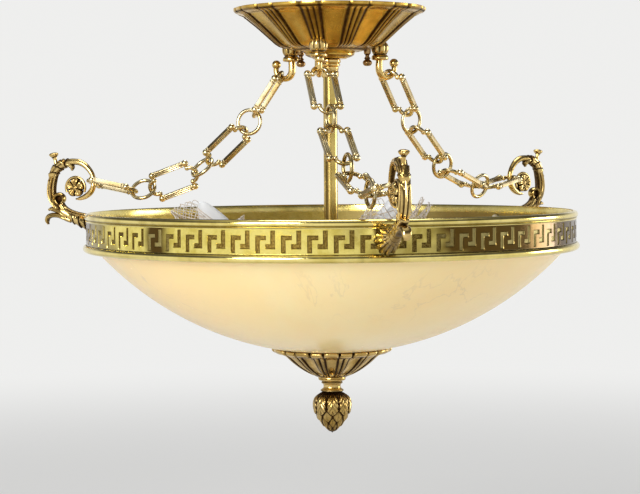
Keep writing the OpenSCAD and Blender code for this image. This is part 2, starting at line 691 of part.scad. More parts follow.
module socket_hub() color(brass) difference() {
    translate([0, 0, hub_z]) rotate_extrude() polygon([[0, 0], [hub_r * 0.8, 0],
        [hub_r, hub_h * 0.15], [hub_r, hub_h * 0.75], [hub_r * 0.7, hub_h], [0, hub_h]]);
    translate([0, 0, stem_low_z]) cylinder(h = far, r = stem_r);
    translate([0, 0, hub_z + rod_seat]) cylinder(h = far, r = stem_bore_r);
    translate([0, 0, hub_z - far]) cylinder(h = 2 * far, r = rod_r);
}

module socket_branches() color(brass) for (i = [0 : 2]) {
    at_azimuth(lamp_turn + arm_step * i) difference() {
        straight_rod(hub_r * 0.5, branch_z, elbow_x, elbow_z, branch_r, branch_r);
        cylinder(h = 2 * far, r = hub_r, center = true);
    }
    in_lamp(i) translate([0, 0, elbow_s]) difference() {
        sphere(elbow_r);
        translate([0, 0, socket_low - elbow_s]) cylinder(h = far, r = far);
    }
}

module lamp_sockets() color("ivory") for (i = [0 : 2]) in_lamp(i) difference() {
    translate([0, 0, socket_low]) cylinder(h = -bulb_l - rim_gap - socket_low, r = socket_r);
    translate([0, 0, -bulb_l - cap_l - rim_gap]) cylinder(h = far, r = cap_r + thread_gap);
}

// Half width of a candle bulb at the share u of its length from the cap, less a wall
function flame_width(u) = bulb_r * pow(sin(180 * pow(0.07 + 0.93 * u, 0.72)), 0.9);

module bulb_glass(i) color(frosted) in_lamp(i) difference() {
    rotate_extrude() polygon(concat([[0, -bulb_l]],
        [for (u = [0 : 1 / 14 : 0.999]) [flame_width(u), -bulb_l * (1 - u)]], [[0, 0]]));
    rotate_extrude() polygon(concat([[0, -bulb_l - 1], [flame_width(0) - glass_wall, -bulb_l - 1]],
        [for (u = [0 : 1 / 14 : 0.9]) [flame_width(u) - glass_wall, -bulb_l * (1 - u)]],
        [[0, -bulb_l * 0.08]]));
}

module bulb_cap(i) color(steel) in_lamp(i) translate([0, 0, -bulb_l - cap_l]) {
    cylinder(h = cap_l, r = cap_r);
}

// A flared tube of crossing strands, in two layers that touch, round the bulb
module net_layer(r, turn) linear_extrude(height = net_high - net_low, twist = turn,
        scale = net_flare, slices = 6, $fn = 4)
    for (k = [0 : net_strands - 1]) rotate([0, 0, 360 * k / net_strands]) translate([r, 0])
        circle(d = net_wire_d, $fn = 4);

module net_sleeve(i) color("whitesmoke") in_lamp(i) translate([0, 0, net_low]) {
    net_layer(net_r, net_twist);
    net_layer(net_r + net_wire_d + fitting_gap, -net_twist);
}

mounting_strap();
threaded_nipple();
nipple_nut();
canopy();
canopy_collar();
stem_coupling();
stem_tube();
chain_hook(0);  // chain_hook_1
chain_hook(1);  // chain_hook_2
chain_hook(2);  // chain_hook_3
hook_knobs();
hook_nuts();
chain_link(0, 0);  // chain_1_link_a
chain_link(0, 1);  // chain_1_link_b
chain_link(0, 2);  // chain_1_link_c
chain_link(0, 3);  // chain_1_link_d
chain_link(1, 0);  // chain_2_link_a
chain_link(1, 1);  // chain_2_link_b
chain_link(1, 2);  // chain_2_link_c
chain_link(1, 3);  // chain_2_link_d
chain_link(2, 0);  // chain_3_link_a
chain_link(2, 1);  // chain_3_link_b
chain_link(2, 2);  // chain_3_link_c
chain_link(2, 3);  // chain_3_link_d
chain_ring(0, 1);  // chain_1_ring_1
chain_ring(0, 2);  // chain_1_ring_2
chain_ring(0, 3);  // chain_1_ring_3
chain_ring(1, 1);  // chain_2_ring_1
chain_ring(1, 2);  // chain_2_ring_2
chain_ring(1, 3);  // chain_2_ring_3
chain_ring(2, 1);  // chain_3_ring_1
chain_ring(2, 2);  // chain_3_ring_2
chain_ring(2, 3);  // chain_3_ring_3
key_band();
top_moulding();
bottom_moulding();
scroll_arm(0);  // scroll_arm_1
scroll_arm(1);  // scroll_arm_2
scroll_arm(2);  // scroll_arm_3
arm_screws();
glass_bowl();
bowl_washer();
bowl_nut();
bottom_cup();
finial_neck();
pine_cone();
centre_rod();
socket_hub();
socket_branches();
lamp_sockets();
bulb_glass(0);  // bulb_glass_1
bulb_glass(1);  // bulb_glass_2
bulb_glass(2);  // bulb_glass_3
bulb_cap(0);  // bulb_cap_1
bulb_cap(1);  // bulb_cap_2
bulb_cap(2);  // bulb_cap_3
net_sleeve(0);  // net_sleeve_1
net_sleeve(1);  // net_sleeve_2
net_sleeve(2);  // net_sleeve_3
feed_wires();
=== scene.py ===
"""The looks of a brass and veined-glass chain pendant light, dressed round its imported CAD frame.

All shapes are worked out in millimetres, in the frame of the CAD model: Z up, the origin at the
centre of the canopy's rim on the ceiling, -Y towards the viewer. They are scaled to metres when
they become meshes."""

import bpy
import numpy as np
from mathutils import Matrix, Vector


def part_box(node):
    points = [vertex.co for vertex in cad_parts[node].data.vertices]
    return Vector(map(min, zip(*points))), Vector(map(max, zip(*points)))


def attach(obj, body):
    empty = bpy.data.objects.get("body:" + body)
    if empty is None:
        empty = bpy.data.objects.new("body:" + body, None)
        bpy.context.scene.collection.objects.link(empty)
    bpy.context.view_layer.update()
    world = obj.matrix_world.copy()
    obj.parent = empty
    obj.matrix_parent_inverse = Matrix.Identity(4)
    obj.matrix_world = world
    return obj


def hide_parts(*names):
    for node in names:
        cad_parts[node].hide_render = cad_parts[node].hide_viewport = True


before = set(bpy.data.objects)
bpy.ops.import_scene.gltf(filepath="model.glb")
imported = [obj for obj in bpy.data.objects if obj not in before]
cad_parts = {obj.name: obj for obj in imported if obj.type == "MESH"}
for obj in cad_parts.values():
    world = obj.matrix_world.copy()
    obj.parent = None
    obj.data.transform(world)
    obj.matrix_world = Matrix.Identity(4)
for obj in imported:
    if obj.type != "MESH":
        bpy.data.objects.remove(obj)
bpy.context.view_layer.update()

MM = 0.001
TAU = 2 * np.pi
SIDES = (1, 2, 3)
SIDE_STEP = 120


# ------------------------ shader maths
class Num:
    """A number in a shader that Python's operators work on, each adding its Math node."""

    def __init__(self, shader, socket):
        self.shader, self.socket = shader, socket

    def math(self, operation, other=0.0, swapped=False):
        a, b = (other, self) if swapped else (self, other)
        return self.shader.make("ShaderNodeMath", {"operation": operation}, {0: a, 1: b})

    def __add__(self, other):
        return self.math("ADD", other)

    def __sub__(self, other):
        return self.math("SUBTRACT", other)

    def __rsub__(self, other):
        return self.math("SUBTRACT", other, swapped=True)

    def __mul__(self, other):
        return self.math("MULTIPLY", other)

    def __truediv__(self, other):
        return self.math("DIVIDE", other)

    __radd__, __rmul__ = __add__, __mul__

    def clip(self):
        return self.shader.make("ShaderNodeClamp", {}, {"Value": self})

    def near(self, centre, width):
        """One where the number is at centre, falling to nothing at width from it."""
        return (1 - (self - centre).math("ABSOLUTE") / width).clip()

    def step(self, low, high):
        """Rises smoothly from 0 at low to 1 at high."""
        return self.shader.make("ShaderNodeMapRange", {"interpolation_type": "SMOOTHSTEP"},
                                {"Value": self, "From Min": low, "From Max": high})

    def blend(self, a, b):
        """Colour a where the number is 0 and colour b where it is 1."""
        return self.shader.make("ShaderNodeMix", {"data_type": "RGBA"}, {0: self, 6: a, 7: b}, 2)


class Shader:
    """A node tree that is filled one node at a time."""

    def __init__(self, tree):
        self.tree = tree
        tree.nodes.clear()

    def make(self, kind, settings, inputs, out=0):
        """Adds a node: its settings first, then the values or links of its sockets. Gives the
        node's output, or nothing where it has none."""
        node = self.tree.nodes.new(kind)
        for name, value in settings.items():
            setattr(node, name, value)
        for key, value in inputs.items():
            if isinstance(value, Num):
                self.tree.links.new(value.socket, node.inputs[key])
            else:
                if isinstance(value, tuple) and len(value) == 3 and node.inputs[key].type == "RGBA":
                    value = (*value, 1)
                node.inputs[key].default_value = value
        return Num(self, node.outputs[out]) if node.outputs else None

    def place(self):
        return self.make("ShaderNodeTexCoord", {}, {}, "Object")

    def noise(self, scale, detail=2.0, rough=0.5, at=None, warp=0.0):
        return self.make("ShaderNodeTexNoise", {}, {
            "Vector": at or self.place(), "Scale": scale, "Detail": detail, "Roughness": rough,
            "Distortion": warp})

    def stretch(self, scale):
        """Object coordinates, scaled along each axis."""
        return self.make("ShaderNodeMapping", {}, {"Vector": self.place(), "Scale": scale})

    def shade(self):
        """The piece's own map of its hollows, painted shade and painted dark reflection: 0 on the
        high spots, 1 in the grooves and where dark is painted.
        """
        return self.make("ShaderNodeAttribute", {"attribute_name": "shade"}, {}, "Fac")

    def bump(self, height, strength, distance):
        return self.make("ShaderNodeBump", {}, {"Height": height, "Strength": strength,
                                                "Distance": distance})

    def surface(self, inputs):
        """The finished surface, from the inputs that differ from the usual ones."""
        skin = self.make("ShaderNodeBsdfPrincipled", {}, inputs)
        self.make("ShaderNodeOutputMaterial", {}, {"Surface": skin})


def new_shader(name):
    material = bpy.data.materials.new(name)
    material.use_nodes = True
    return material, Shader(material.node_tree)


# ------------------------ finishes
PATINA_AND_SHADE = (0.040, 0.017, 0.005)
# Where the band's face is painted darkest, as a painted dark reflection, in metres along X: on
# the right it grows in from one X to the next, at the left end likewise along -X, and a patch
# between has a middle and a half width.
DARK_REFLECTION_RIGHT, DARK_REFLECTION_LEFT_END, DARK_REFLECTION_PATCH = (0.03, 0.08), (0.198, 0.214), (-0.165, 0.014)


def brass_finish(name, bright, dull, rough, grime_and_shade=1.0, tarnish=0.35, grain=1.0, brushed=0.0):
    """Brass whose colour wanders between bright and dull, with a few tarnished patches, and a dark
    patina in its hollows that also carries the painted shade and painted dark reflection of the
    shade map."""
    material, s = new_shader(name)
    hollow = s.shade()
    cloud = s.noise(38.0, 4.0, 0.6).step(0.34, 0.7)
    patches = s.noise(23.0, 4.0, 0.65, warp=0.5).step(0.5, 0.72) * tarnish
    spots = s.noise(420.0, 3.0, 0.6)
    # Dark patina in the hollows, plus painted shade and painted dark reflection where the shade map
    # marks them.
    patina_and_painted_shade = (hollow * grime_and_shade + (spots - 0.5) * 0.45 * hollow).clip()
    metal = patches.blend(cloud.blend(bright, dull), tuple(0.35 * c for c in dull))
    smear = s.noise(150.0, 3.0, 0.65)
    worn = (rough + hollow * 0.25 + (smear - 0.5) * 0.16 + patina_and_painted_shade * 0.1).clip()
    height = smear * 0.35 + spots * 0.25
    if brushed:
        height = height + s.noise(1.0, 2.0, 0.5, s.stretch((1500.0, 1500.0, 25.0))) * brushed
    s.surface({
        "Base Color": patina_and_painted_shade.blend(metal, PATINA_AND_SHADE), "Metallic": 1.0, "Roughness": worn,
        "Normal": s.bump(height, 0.2 * grain, 0.0006)})
    return material


def key_finish():
    """The band: a polished face with broad dark patches, mostly painted dark reflection and partly
    random tarnish, and matt, stippled olive recesses that stay lighter than the face where the
    painted reflection is darkest."""
    material, s = new_shader("key_band_brass")
    sunk = s.shade()
    # Random patches, partly tarnish and partly painted dark reflection.
    patches = s.noise(8.0, 3.0, 0.55, warp=0.7).step(0.47, 0.62)
    across = (s.make("ShaderNodeSeparateXYZ", {}, {0: s.place()}, "X")
              + s.noise(11.0, 2.0, 0.5) * 0.08 - 0.04)
    # Painted dark reflection at fixed places along X.
    deep = (across.step(*DARK_REFLECTION_RIGHT) + across.near(*DARK_REFLECTION_PATCH) * 1.5
            + (0 - across).step(*DARK_REFLECTION_LEFT_END) * 0.7).clip()
    patches = (patches * 0.55 + deep).clip()
    streaks = s.noise(70.0, 4.0, 0.65).step(0.35, 0.72)
    stipple = s.noise(900.0, 2.0, 0.5)
    face = streaks.blend((0.96, 0.81, 0.24), (0.68, 0.54, 0.11))
    # In the patches the face is painted near black: painted dark reflection.
    face = (patches * 0.97).blend(face, (0.075, 0.036, 0.006))
    recess = (patches * 0.5 + streaks * 0.4).blend((0.22, 0.15, 0.03), (0.33, 0.26, 0.08))
    recess = stipple.step(0.35, 0.6).blend(recess, (0.10, 0.06, 0.012))
    # Painted dark reflection: the recesses are painted lighter where the face is darkest.
    recess = (deep * 0.7).blend(recess, (0.44, 0.37, 0.15))
    s.surface({
        "Base Color": sunk.step(0.25, 0.75).blend(face, recess), "Metallic": 1.0,
        "Roughness": (0.17 + sunk * 0.35 + (streaks - 0.5) * 0.12).clip(),
        "Normal": s.bump(streaks * 0.25 + stipple * sunk * 1.4, 0.2, 0.0006)})
    return material


def alabaster_finish():
    """Cream stone-like glass: soft clouds, a few hairline veins and fine scratches, polished."""
    material, s = new_shader("clouded_cream_glass")
    clouds = s.noise(7.0, 5.0, 0.55, warp=0.6).step(0.3, 0.72)
    blush = s.noise(3.2, 2.0, 0.5).step(0.42, 0.68)
    body = clouds.blend((1.0, 0.74, 0.36), (1.0, 0.80, 0.44))
    body = (blush * 0.4).blend(body, (1.0, 0.70, 0.34))
    vein = s.noise(5.5, 6.0, 0.55, warp=1.4).near(0.52, 0.006)
    where = s.noise(4.0, 1.0, 0.5, at=s.stretch((1.0, 1.0, 1.6))).step(0.5, 0.66)
    fine = s.noise(16.0, 4.0, 0.6, warp=2.2).near(0.5, 0.006) * 0.4
    lines = (vein * where + fine * where).clip()
    pits = s.noise(260.0, 2.0, 0.5)
    s.surface({
        "Base Color": (lines * 0.4).blend(body, (0.50, 0.40, 0.32)),
        "Roughness": (0.24 + (pits - 0.5) * 0.12).clip(),
        "Subsurface Weight": 0.25, "Subsurface Scale": 0.012,
        "Subsurface Radius": (1.0, 0.6, 0.35), "IOR": 1.52,
        "Normal": s.bump(pits * 0.4 + clouds * 0.6, 0.08, 0.0008)})
    return material


def frosted_finish():
    """Milky bulb glass with a faint grain."""
    material, s = new_shader("frosted_bulb_glass")
    grain = s.noise(600.0, 2.0, 0.5)
    haze = s.noise(40.0, 3.0, 0.5)
    s.surface({
        "Base Color": haze.blend((0.72, 0.75, 0.78), (0.86, 0.88, 0.90)),
        "Roughness": 0.3 + grain * 0.2, "Transmission Weight": 0.12,
        "Normal": s.bump(grain, 0.1, 0.0003)})
    return material


def plain_finish(name, light, dark, rough, scale, metallic=0.0):
    """A plain material whose colour and gloss vary with a fine noise."""
    material, s = new_shader(name)
    mottle = s.noise(scale, 4.0, 0.6)
    s.surface({
        "Base Color": mottle.step(0.3, 0.7).blend(light, dark), "Metallic": metallic,
        "Roughness": (rough + (mottle - 0.5) * 0.2).clip(),
        "Normal": s.bump(mottle, 0.15, 0.0004)})
    return material


polished = brass_finish("polished_brass", (0.93, 0.78, 0.29), (0.72, 0.57, 0.15), 0.14)
cast = brass_finish("cast_brass", (0.80, 0.58, 0.23), (0.46, 0.30, 0.08), 0.19, 1.15, grain=0.5)
warm = brass_finish("canopy_brass", (0.78, 0.51, 0.11), (0.46, 0.27, 0.04), 0.21, tarnish=0.5)
pale = brass_finish("pale_chain_brass", (0.84, 0.72, 0.43), (0.54, 0.41, 0.17), 0.18, tarnish=0.5,
                    grain=0.4)
keyed = key_finish()
stem_brass = brass_finish("drawn_stem_brass", (0.66, 0.50, 0.16), (0.44, 0.31, 0.08), 0.2,
                          brushed=0.5)
aged = brass_finish("aged_knob_brass", (0.42, 0.27, 0.12), (0.28, 0.17, 0.07), 0.3)
inner_brass = brass_finish("tarnished_inner_brass", (0.52, 0.36, 0.12), (0.32, 0.19, 0.06), 0.34)
cream = alabaster_finish()
frosted = frosted_finish()
steel = plain_finish("zinc_plated_steel", (0.62, 0.63, 0.64), (0.5, 0.51, 0.52), 0.34, 180.0, 1.0)
tin = plain_finish("bulb_cap_tin", (0.78, 0.78, 0.77), (0.62, 0.62, 0.62), 0.3, 260.0, 1.0)
ceramic = plain_finish("socket_ceramic", (0.86, 0.83, 0.75), (0.78, 0.74, 0.66), 0.4, 90.0)
rubber = plain_finish("washer_rubber", (0.05, 0.05, 0.05), (0.08, 0.08, 0.08), 0.7, 300.0)
sleeving = plain_finish("wire_sleeving", (0.82, 0.78, 0.66), (0.72, 0.68, 0.57), 0.5, 200.0)
netting = plain_finish("net_thread", (0.70, 0.66, 0.61), (0.42, 0.38, 0.34), 0.45, 260.0)


# ------------------------ surfaces
def add(name, data):
    """Puts a mesh, a lamp or a camera into the scene."""
    thing = bpy.data.objects.new(name, data)
    bpy.context.scene.collection.objects.link(thing)
    return thing


def shell(points, shade=None, ring=False):
    """A closed surface from rows of points; each row is a loop. With ring the last row joins the
    first, and otherwise a middle point closes each end. Faces are turned outwards."""
    rows, cols = points.shape[:2]
    verts = points.reshape(-1, 3)
    shade = np.zeros((rows, cols)) if shade is None else np.broadcast_to(shade, (rows, cols))
    shade = shade.reshape(-1)
    i = np.arange(rows if ring else rows - 1)[:, None]
    j = np.arange(cols)[None]
    i2, j2 = (i + 1) % rows, (j + 1) % cols
    quads = np.stack([i * cols + j, i * cols + j2, i2 * cols + j2, i2 * cols + j], -1)
    faces = [quads.reshape(-1, 4)]
    if not ring:
        ends = np.stack([points[0].mean(0), points[-1].mean(0)])
        k = len(verts)
        verts = np.concatenate([verts, ends])
        shade = np.concatenate([shade, [shade[0], shade[-1]]])
        j, j2 = j[0], j2[0]
        low = np.stack([j2, j, np.full(cols, k)], -1)
        last = (rows - 1) * cols
        faces += [low, np.stack([last + j, last + j2, np.full(cols, k + 1)], -1)]
    tris = np.concatenate([faces[0][:, :3], faces[0][:, [0, 2, 3]], *faces[1:]])
    a, b, c = (verts[tris[:, n]] for n in range(3))
    if np.einsum("ij,ij->i", a, np.cross(b, c)).sum() < 0:
        faces = [f[:, ::-1] for f in faces]
    return verts, faces, shade


def piece(name, body, material, shells, replaces, sharp=38):
    """One mesh object from closed shells, riding on a body, at the origin, in metres."""
    verts = np.concatenate([v for v, _, _ in shells]) * MM
    shade = np.concatenate([s for _, _, s in shells])
    starts = np.cumsum([0] + [len(v) for v, _, _ in shells[:-1]])
    faces = [(f + start).tolist() for (_, fs, _), start in zip(shells, starts) for f in fs]
    mesh = bpy.data.meshes.new(name)
    mesh.from_pydata(verts.tolist(), [], [f for group in faces for f in group])
    mesh.attributes.new("shade", "FLOAT", "POINT").data.foreach_set(
        "value", shade.astype(np.float32))
    mesh.polygons.foreach_set("use_smooth", np.ones(len(mesh.polygons), bool))
    mesh.set_sharp_from_angle(angle=np.radians(sharp))
    mesh.materials.append(material)
    thing = add(name, mesh)
    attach(thing, body)
    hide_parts(*replaces)


def moved(shells, matrix, offset=(0, 0, 0)):
    """The shells turned by a matrix and then shifted."""
    return [(v @ np.asarray(matrix).T + np.asarray(offset), f, s) for v, f, s in shells]


def shifted(shells, *offset):
    """The shells shifted, unturned."""
    return moved(shells, np.eye(3), offset)


def turn(axis, degrees):
    """The matrix that turns about X, Y or Z by the right-hand rule."""
    c, s = np.cos(np.radians(degrees)), np.sin(np.radians(degrees))
    return {"x": np.array([[1, 0, 0], [0, c, -s], [0, s, c]]),
            "y": np.array([[c, 0, s], [0, 1, 0], [-s, 0, c]]),
            "z": np.array([[c, -s, 0], [s, c, 0], [0, 0, 1]])}[axis]


def side_turn(side, extra=0.0):
    """Turns what is drawn along +X to side 1, 2 or 3 of the light, and by an extra angle. Side 1
    faces -Y, and the others follow towards +X."""
    return turn("z", SIDE_STEP * (side - 1) + extra - 90)


def line_at(share, place, width):
    """A soft dark line across a form at a share of its length."""
    return np.exp(-((share - place) / width) ** 2)


def ringed(*lines):
    """Relief of a turned form that has only dark lines round it, each at a share and of a width."""
    return lambda angle, share: (0, 0, sum(line_at(share, *line) for line in lines))


def spline(points, count):
    """A smooth curve through the points (Catmull-Rom), with count points evenly along it."""
    p = np.asarray(points, float)
    p = np.concatenate([[2 * p[0] - p[1]], p, [2 * p[-1] - p[-2]]])
    t = np.linspace(0, 1, 24, endpoint=False)[:, None]
    runs = [0.5 * (2 * b + (c - a) * t + (2 * a - 5 * b + 4 * c - d) * t ** 2
                   + (3 * b - a - 3 * c + d) * t ** 3)
            for a, b, c, d in zip(p[:-3], p[1:-2], p[2:-1], p[3:])]
    dense = np.concatenate([*runs, p[-2:-1]])
    far = np.concatenate([[0], np.cumsum(np.linalg.norm(np.diff(dense, axis=0), axis=1))])
    want = np.linspace(0, far[-1], count)
    return np.stack([np.interp(want, far, column) for column in dense.T], -1)


def along(values, count):
    """Values spread evenly along a path, joined smoothly."""
    x = np.linspace(0, 1, len(values))
    t = np.linspace(0, 1, count)
    k = np.clip(np.searchsorted(x, t, side="right") - 1, 0, len(x) - 2)
    f = (t - x[k]) / (x[k + 1] - x[k])
    v = np.asarray(values, float)
    return v[k] + (v[k + 1] - v[k]) * f * f * (3 - 2 * f)


def smooth(x, low, high):
    """0 below low, 1 above high, and an S curve between."""
    t = np.clip((np.asarray(x, float) - low) / (high - low), 0, 1)
    return t * t * (3 - 2 * t)


def between(x, low, inner_low, inner_high, high):
    """1 from inner_low to inner_high, 0 outside low and high, and S curves between."""
    return smooth(x, low, inner_low) * (1 - smooth(x, inner_high, high))


def lathe(profile, count, relief=None, ring=False):
    """A turned form: each point (r, z) of the profile is carried round Z. relief(angle, share)
    gives how far r moves out, how far z moves up and how deep in a groove each point is."""
    p = np.asarray(profile, float)
    far = np.concatenate([[0], np.cumsum(np.linalg.norm(np.diff(p, axis=0), axis=1))])
    share = (far / far[-1])[:, None]
    angle = np.linspace(0, TAU, count, endpoint=False)[None]
    out, up, dark = relief(angle, share) if relief else (0, 0, 0)
    r = p[:, :1] + out + 0 * angle
    points = np.stack([r * np.cos(angle), r * np.sin(angle), p[:, 1:] + up + 0 * angle], -1)
    return shell(points, dark + 0 * angle + 0 * share, ring)


def sweep(path, thick, wide, count, relief=None, rim=0.0):
    """A bar along a path in the XZ plane. Its section is an oval, thick in the plane of the path
    and wide across it, or round where wide is None; relief(angle, share) scales the section and
    says how deep each point is. The side to the left of the path is darkened by rim, a painted
    dark reflection."""
    p = np.asarray(path, float)
    n = len(p)
    heading = np.gradient(p, axis=0)
    heading /= np.linalg.norm(heading, axis=1, keepdims=True)
    normal = np.stack([-heading[:, 1], heading[:, 0]], -1)
    thick = along(thick, n)
    wide = thick if wide is None else along(wide, n)
    angle = np.linspace(0, TAU, count, endpoint=False)[None]
    share = np.linspace(0, 1, n)[:, None]
    grow, dark = relief(angle, share) if relief else (1, 0)
    # Painted dark reflection along the left side of the bar.
    dark = np.maximum(dark, rim * smooth(np.cos(angle), 0.45, 0.95))
    a = thick[:, None] * np.cos(angle) * grow
    b = wide[:, None] * np.sin(angle) * grow
    points = np.stack([p[:, :1] + a * normal[:, :1], b, p[:, 1:] + a * normal[:, 1:]], -1)
    return shell(points, dark + 0 * a)


def globe(centre, radius, stretch=(1, 1, 1), count=20):
    """A ball, or an egg where it is stretched."""
    lat = np.linspace(-np.pi / 2, np.pi / 2, count // 2 + 2)[1:-1]
    verts, faces, shade = lathe(np.stack([radius * np.cos(lat), radius * np.sin(lat)], -1), count)
    return verts * np.asarray(stretch) + np.asarray(centre), faces, shade


def hoop(radius, wire, start=0, stop=360, count=40, section=12):
    """A wire ring, or an arc of one, in the XY plane, painted dark along its inner and outer side
    as a dark reflection.
    """
    whole = stop - start >= 360
    a = np.radians(np.linspace(start, stop, count, endpoint=not whole))[:, None]
    b = np.linspace(0, TAU, section, endpoint=False)[None]
    r = radius + wire * np.cos(b)
    # Painted dark reflection along the wire's inner and outer side.
    dark = 0.6 * smooth(np.abs(np.cos(b)), 0.8, 1.0) + 0 * a
    return shell(np.stack([r * np.cos(a), r * np.sin(a), wire * np.sin(b) + 0 * a], -1), dark,
                 ring=whole)


def flutes(angle, number, turn_deg, petal=0.3, ribs=3):
    """Broad hollow petals with clusters of thin ribs between them. Gives, round the form, the
    hollow of the petal (0 to 1), the height of the ribs (0 to 1), the dark of the grooves and the
    grooves at the petals' brinks alone."""
    u = np.mod((angle - np.radians(turn_deg)) * number / TAU, 1)
    off = np.abs(u - 0.5)
    hollow = np.clip(1 - (off / petal) ** 2, 0, 1)
    band = 2 * (0.5 - petal)
    w = np.mod(np.mod(u + 0.5, 1) - 0.5 + band / 2, 1) / band * ribs
    rib = np.where(off > petal, np.sqrt(np.clip(1 - (2 * np.mod(w, 1) - 1) ** 2, 0, 1)), 0)
    edge = np.abs(np.mod(w + 0.5, 1) - 0.5)
    inside = np.where(off > petal, np.exp(-(edge / 0.17) ** 2), 0)
    brink = np.exp(-((off - petal) / 0.036) ** 2)
    return hollow, rib, np.clip(1.35 * np.maximum(inside, brink), 0, 1), brink


# ------------------------ canopy and stem
CANOPY_TURN, PETALS = -23.5, 12
canopy_side = [(85.5, -0.3), (87.1, -0.2), (87.3, -0.9), (87.3, -2.0), (86.6, -3.2), (84.8, -4.6),
               (82.6, -5.6), (80.4, -6.4), (79.0, -7.2), (78.0, -8.4)]
fluted_side = [(77, -8.9), (73.5, -11.8), (69.5, -15.0), (65.5, -18.4), (61.2, -22.2), (57, -26),
               (53, -29.6), (49.8, -32.4), (46.3, -34.6)]
canopy_foot = [(42, -36.0), (36, -37.0), (31.5, -38.2), (28.6, -39.4), (26.5, -39.0),
               (23.6, -39.3), (23.0, -40.6), (22.2, -41.6), (22.2, -42.6), (20.4, -43.6),
               (18.6, -44.4), (15.6, -45.4), (15.2, -46.0), (5.4, -46.0)]
canopy_in = [(5.4, -38.2), (28, -37.0), (36, -34.8), (44.8, -32.4), (51.5, -27.6), (62, -18.6),
             (74.5, -8.0), (82, -4.0), (85.3, -2.2), (85.4, -1.0)]


def canopy_relief(angle, share):
    """Petals and ribs grow in below the lip and die out above the foot; the lip is scalloped, with
    a lobe over each petal."""
    hollow, rib, dark, brink = flutes(angle, PETALS, CANOPY_TURN - 90)
    lip = 1 - smooth(share, 0.02, 0.05)
    side = between(share, 0.032, 0.046, 0.325, 0.35)
    arch = smooth(share - 0.015 * (1 - hollow), 0.036, 0.062) * (1 - smooth(
        share + 0.02 * (1 - hollow), 0.305, 0.34))
    out = -2.0 * hollow * arch + 1.4 * (rib - 0.7) * side - 0.7 * dark * side
    out = out - (0.5 * (1 - hollow) ** 2 + 1.3 * brink) * lip
    brim = line_at(share, 0.03, 0.007) * (0.6 + 0.4 * (hollow < 0.4))
    foot = line_at(share, 0.35, 0.012)
    step = line_at(share, 0.385, 0.005) + line_at(share, 0.43, 0.006)
    edge = 0.35 * (1 - hollow) * arch
    return out, 0, np.clip(dark * side + brim + foot + step + edge + 0.7 * brink * lip, 0, 1)


outline = np.concatenate([spline(canopy_side, 26), spline(fluted_side, 44),
                          spline(canopy_foot[:5], 12), canopy_foot[5:], canopy_in])
piece("fluted_canopy", "fixture", warm,
      [lathe(outline, 576, canopy_relief, ring=True)], ["canopy"])

collar = [(5.1, -46.15), (8.6, -46.15), (9.8, -47.0), (10, -48.2), (9.7, -49.3), (8.7, -50.0),
          (8.9, -50.6), (9.5, -51.2), (9.4, -52.0), (8.5, -52.85), (5.1, -52.85)]
piece("turned_collar", "collar", cast,
      [lathe(collar, 72, ringed((0.5, 0.03)), ring=True)], ["canopy_collar"])
coupling = [(5.02, -53.05), (7.4, -53.05), (8, -53.7), (8, -55.6), (7.6, -56.2), (7.6, -57.0),
            (8, -57.6), (8, -61.4), (7.3, -62.9), (6.4, -62.95), (6.36, -58.2), (5.02, -58.1)]
piece("stem_sleeve", "fixture", cast, [lathe(coupling, 72, ring=True)],
      ["stem_coupling"])
STEM_R, STEM_BORE, STEM_TOP, STEM_LOW = 6.35, 5.1, -58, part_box("stem_tube")[0].z / MM
tube = [(STEM_BORE, STEM_TOP), (STEM_R, STEM_TOP), (STEM_R, STEM_LOW), (STEM_BORE, STEM_LOW)]
# The stem's three vertical dark stripes round it are painted dark reflection.
piece("centre_stem", "fixture", stem_brass, [lathe(
    tube, 96, lambda a, s: (0, 0, 0.8 * smooth(np.cos(3 * a + 0.6), 0.35, 0.95)), ring=True)],
    ["stem_tube"])

# ------------------------ chain hooks
HOOK_X, HOOK_DROP, HOOK_BEND, HOOK_WIRE, HOOK_TWIST, HOOK_BALL_R = 48.2, 54, 8, 2.5, 15, 4.2
KNOB_X = 36
bell_top = [(0.6, -29.0), (3.2, -29.2), (5.2, -29.9), (6.9, -31.4), (7.9, -33.4), (8.15, -35.6),
            (7.8, -38.2), (7.0, -40.2), (6.1, -41.3)]
bell_rim = [(6.2, -42.0), (7.2, -42.7), (7.75, -43.9), (7.8, -45.4), (7.2, -46.4), (6.2, -46.6),
            (5.3, -46.0), (4.9, -44.6), (4.6, -42.4), (0.6, -42.2)]


def bell_relief(angle, share):
    """Eight rounded lobes round the bell, which fade at its crown and above its mouth. The inside
    of the mouth is painted with shade.
    """
    lobe = np.abs(np.cos(4 * angle))
    here = between(share, 0.08, 0.2, 0.44, 0.5)
    waist = line_at(share, 0.53, 0.025)
    # Painted shade inside the bell's mouth.
    mouth = smooth(share, 0.83, 0.87)
    return ((lobe - 0.75) * 0.9 * here, 0,
            np.clip((1 - lobe) ** 2 * 1.2 * here + waist + mouth, 0, 1))


bell = lathe(np.concatenate([spline(bell_top, 20), spline(bell_rim, 26)]), 96, bell_relief)
# The hook's wire thins round its bend, whose inner edge, where the link lies, keeps its radius.
bend_deg = np.linspace(180, 360 + 28, 34)
bend_wire = 3.4 - 0.9 * smooth(bend_deg, 225, 285)
bend_r = HOOK_BEND - HOOK_WIRE + bend_wire
bend = np.radians(bend_deg)
hook_line = np.concatenate([[(0, -40), (-0.2, -43), (-0.6, -47), (-0.9, -51)], np.stack([
    HOOK_BEND + bend_r * np.cos(bend), -HOOK_DROP + bend_r * np.sin(bend)], -1)])
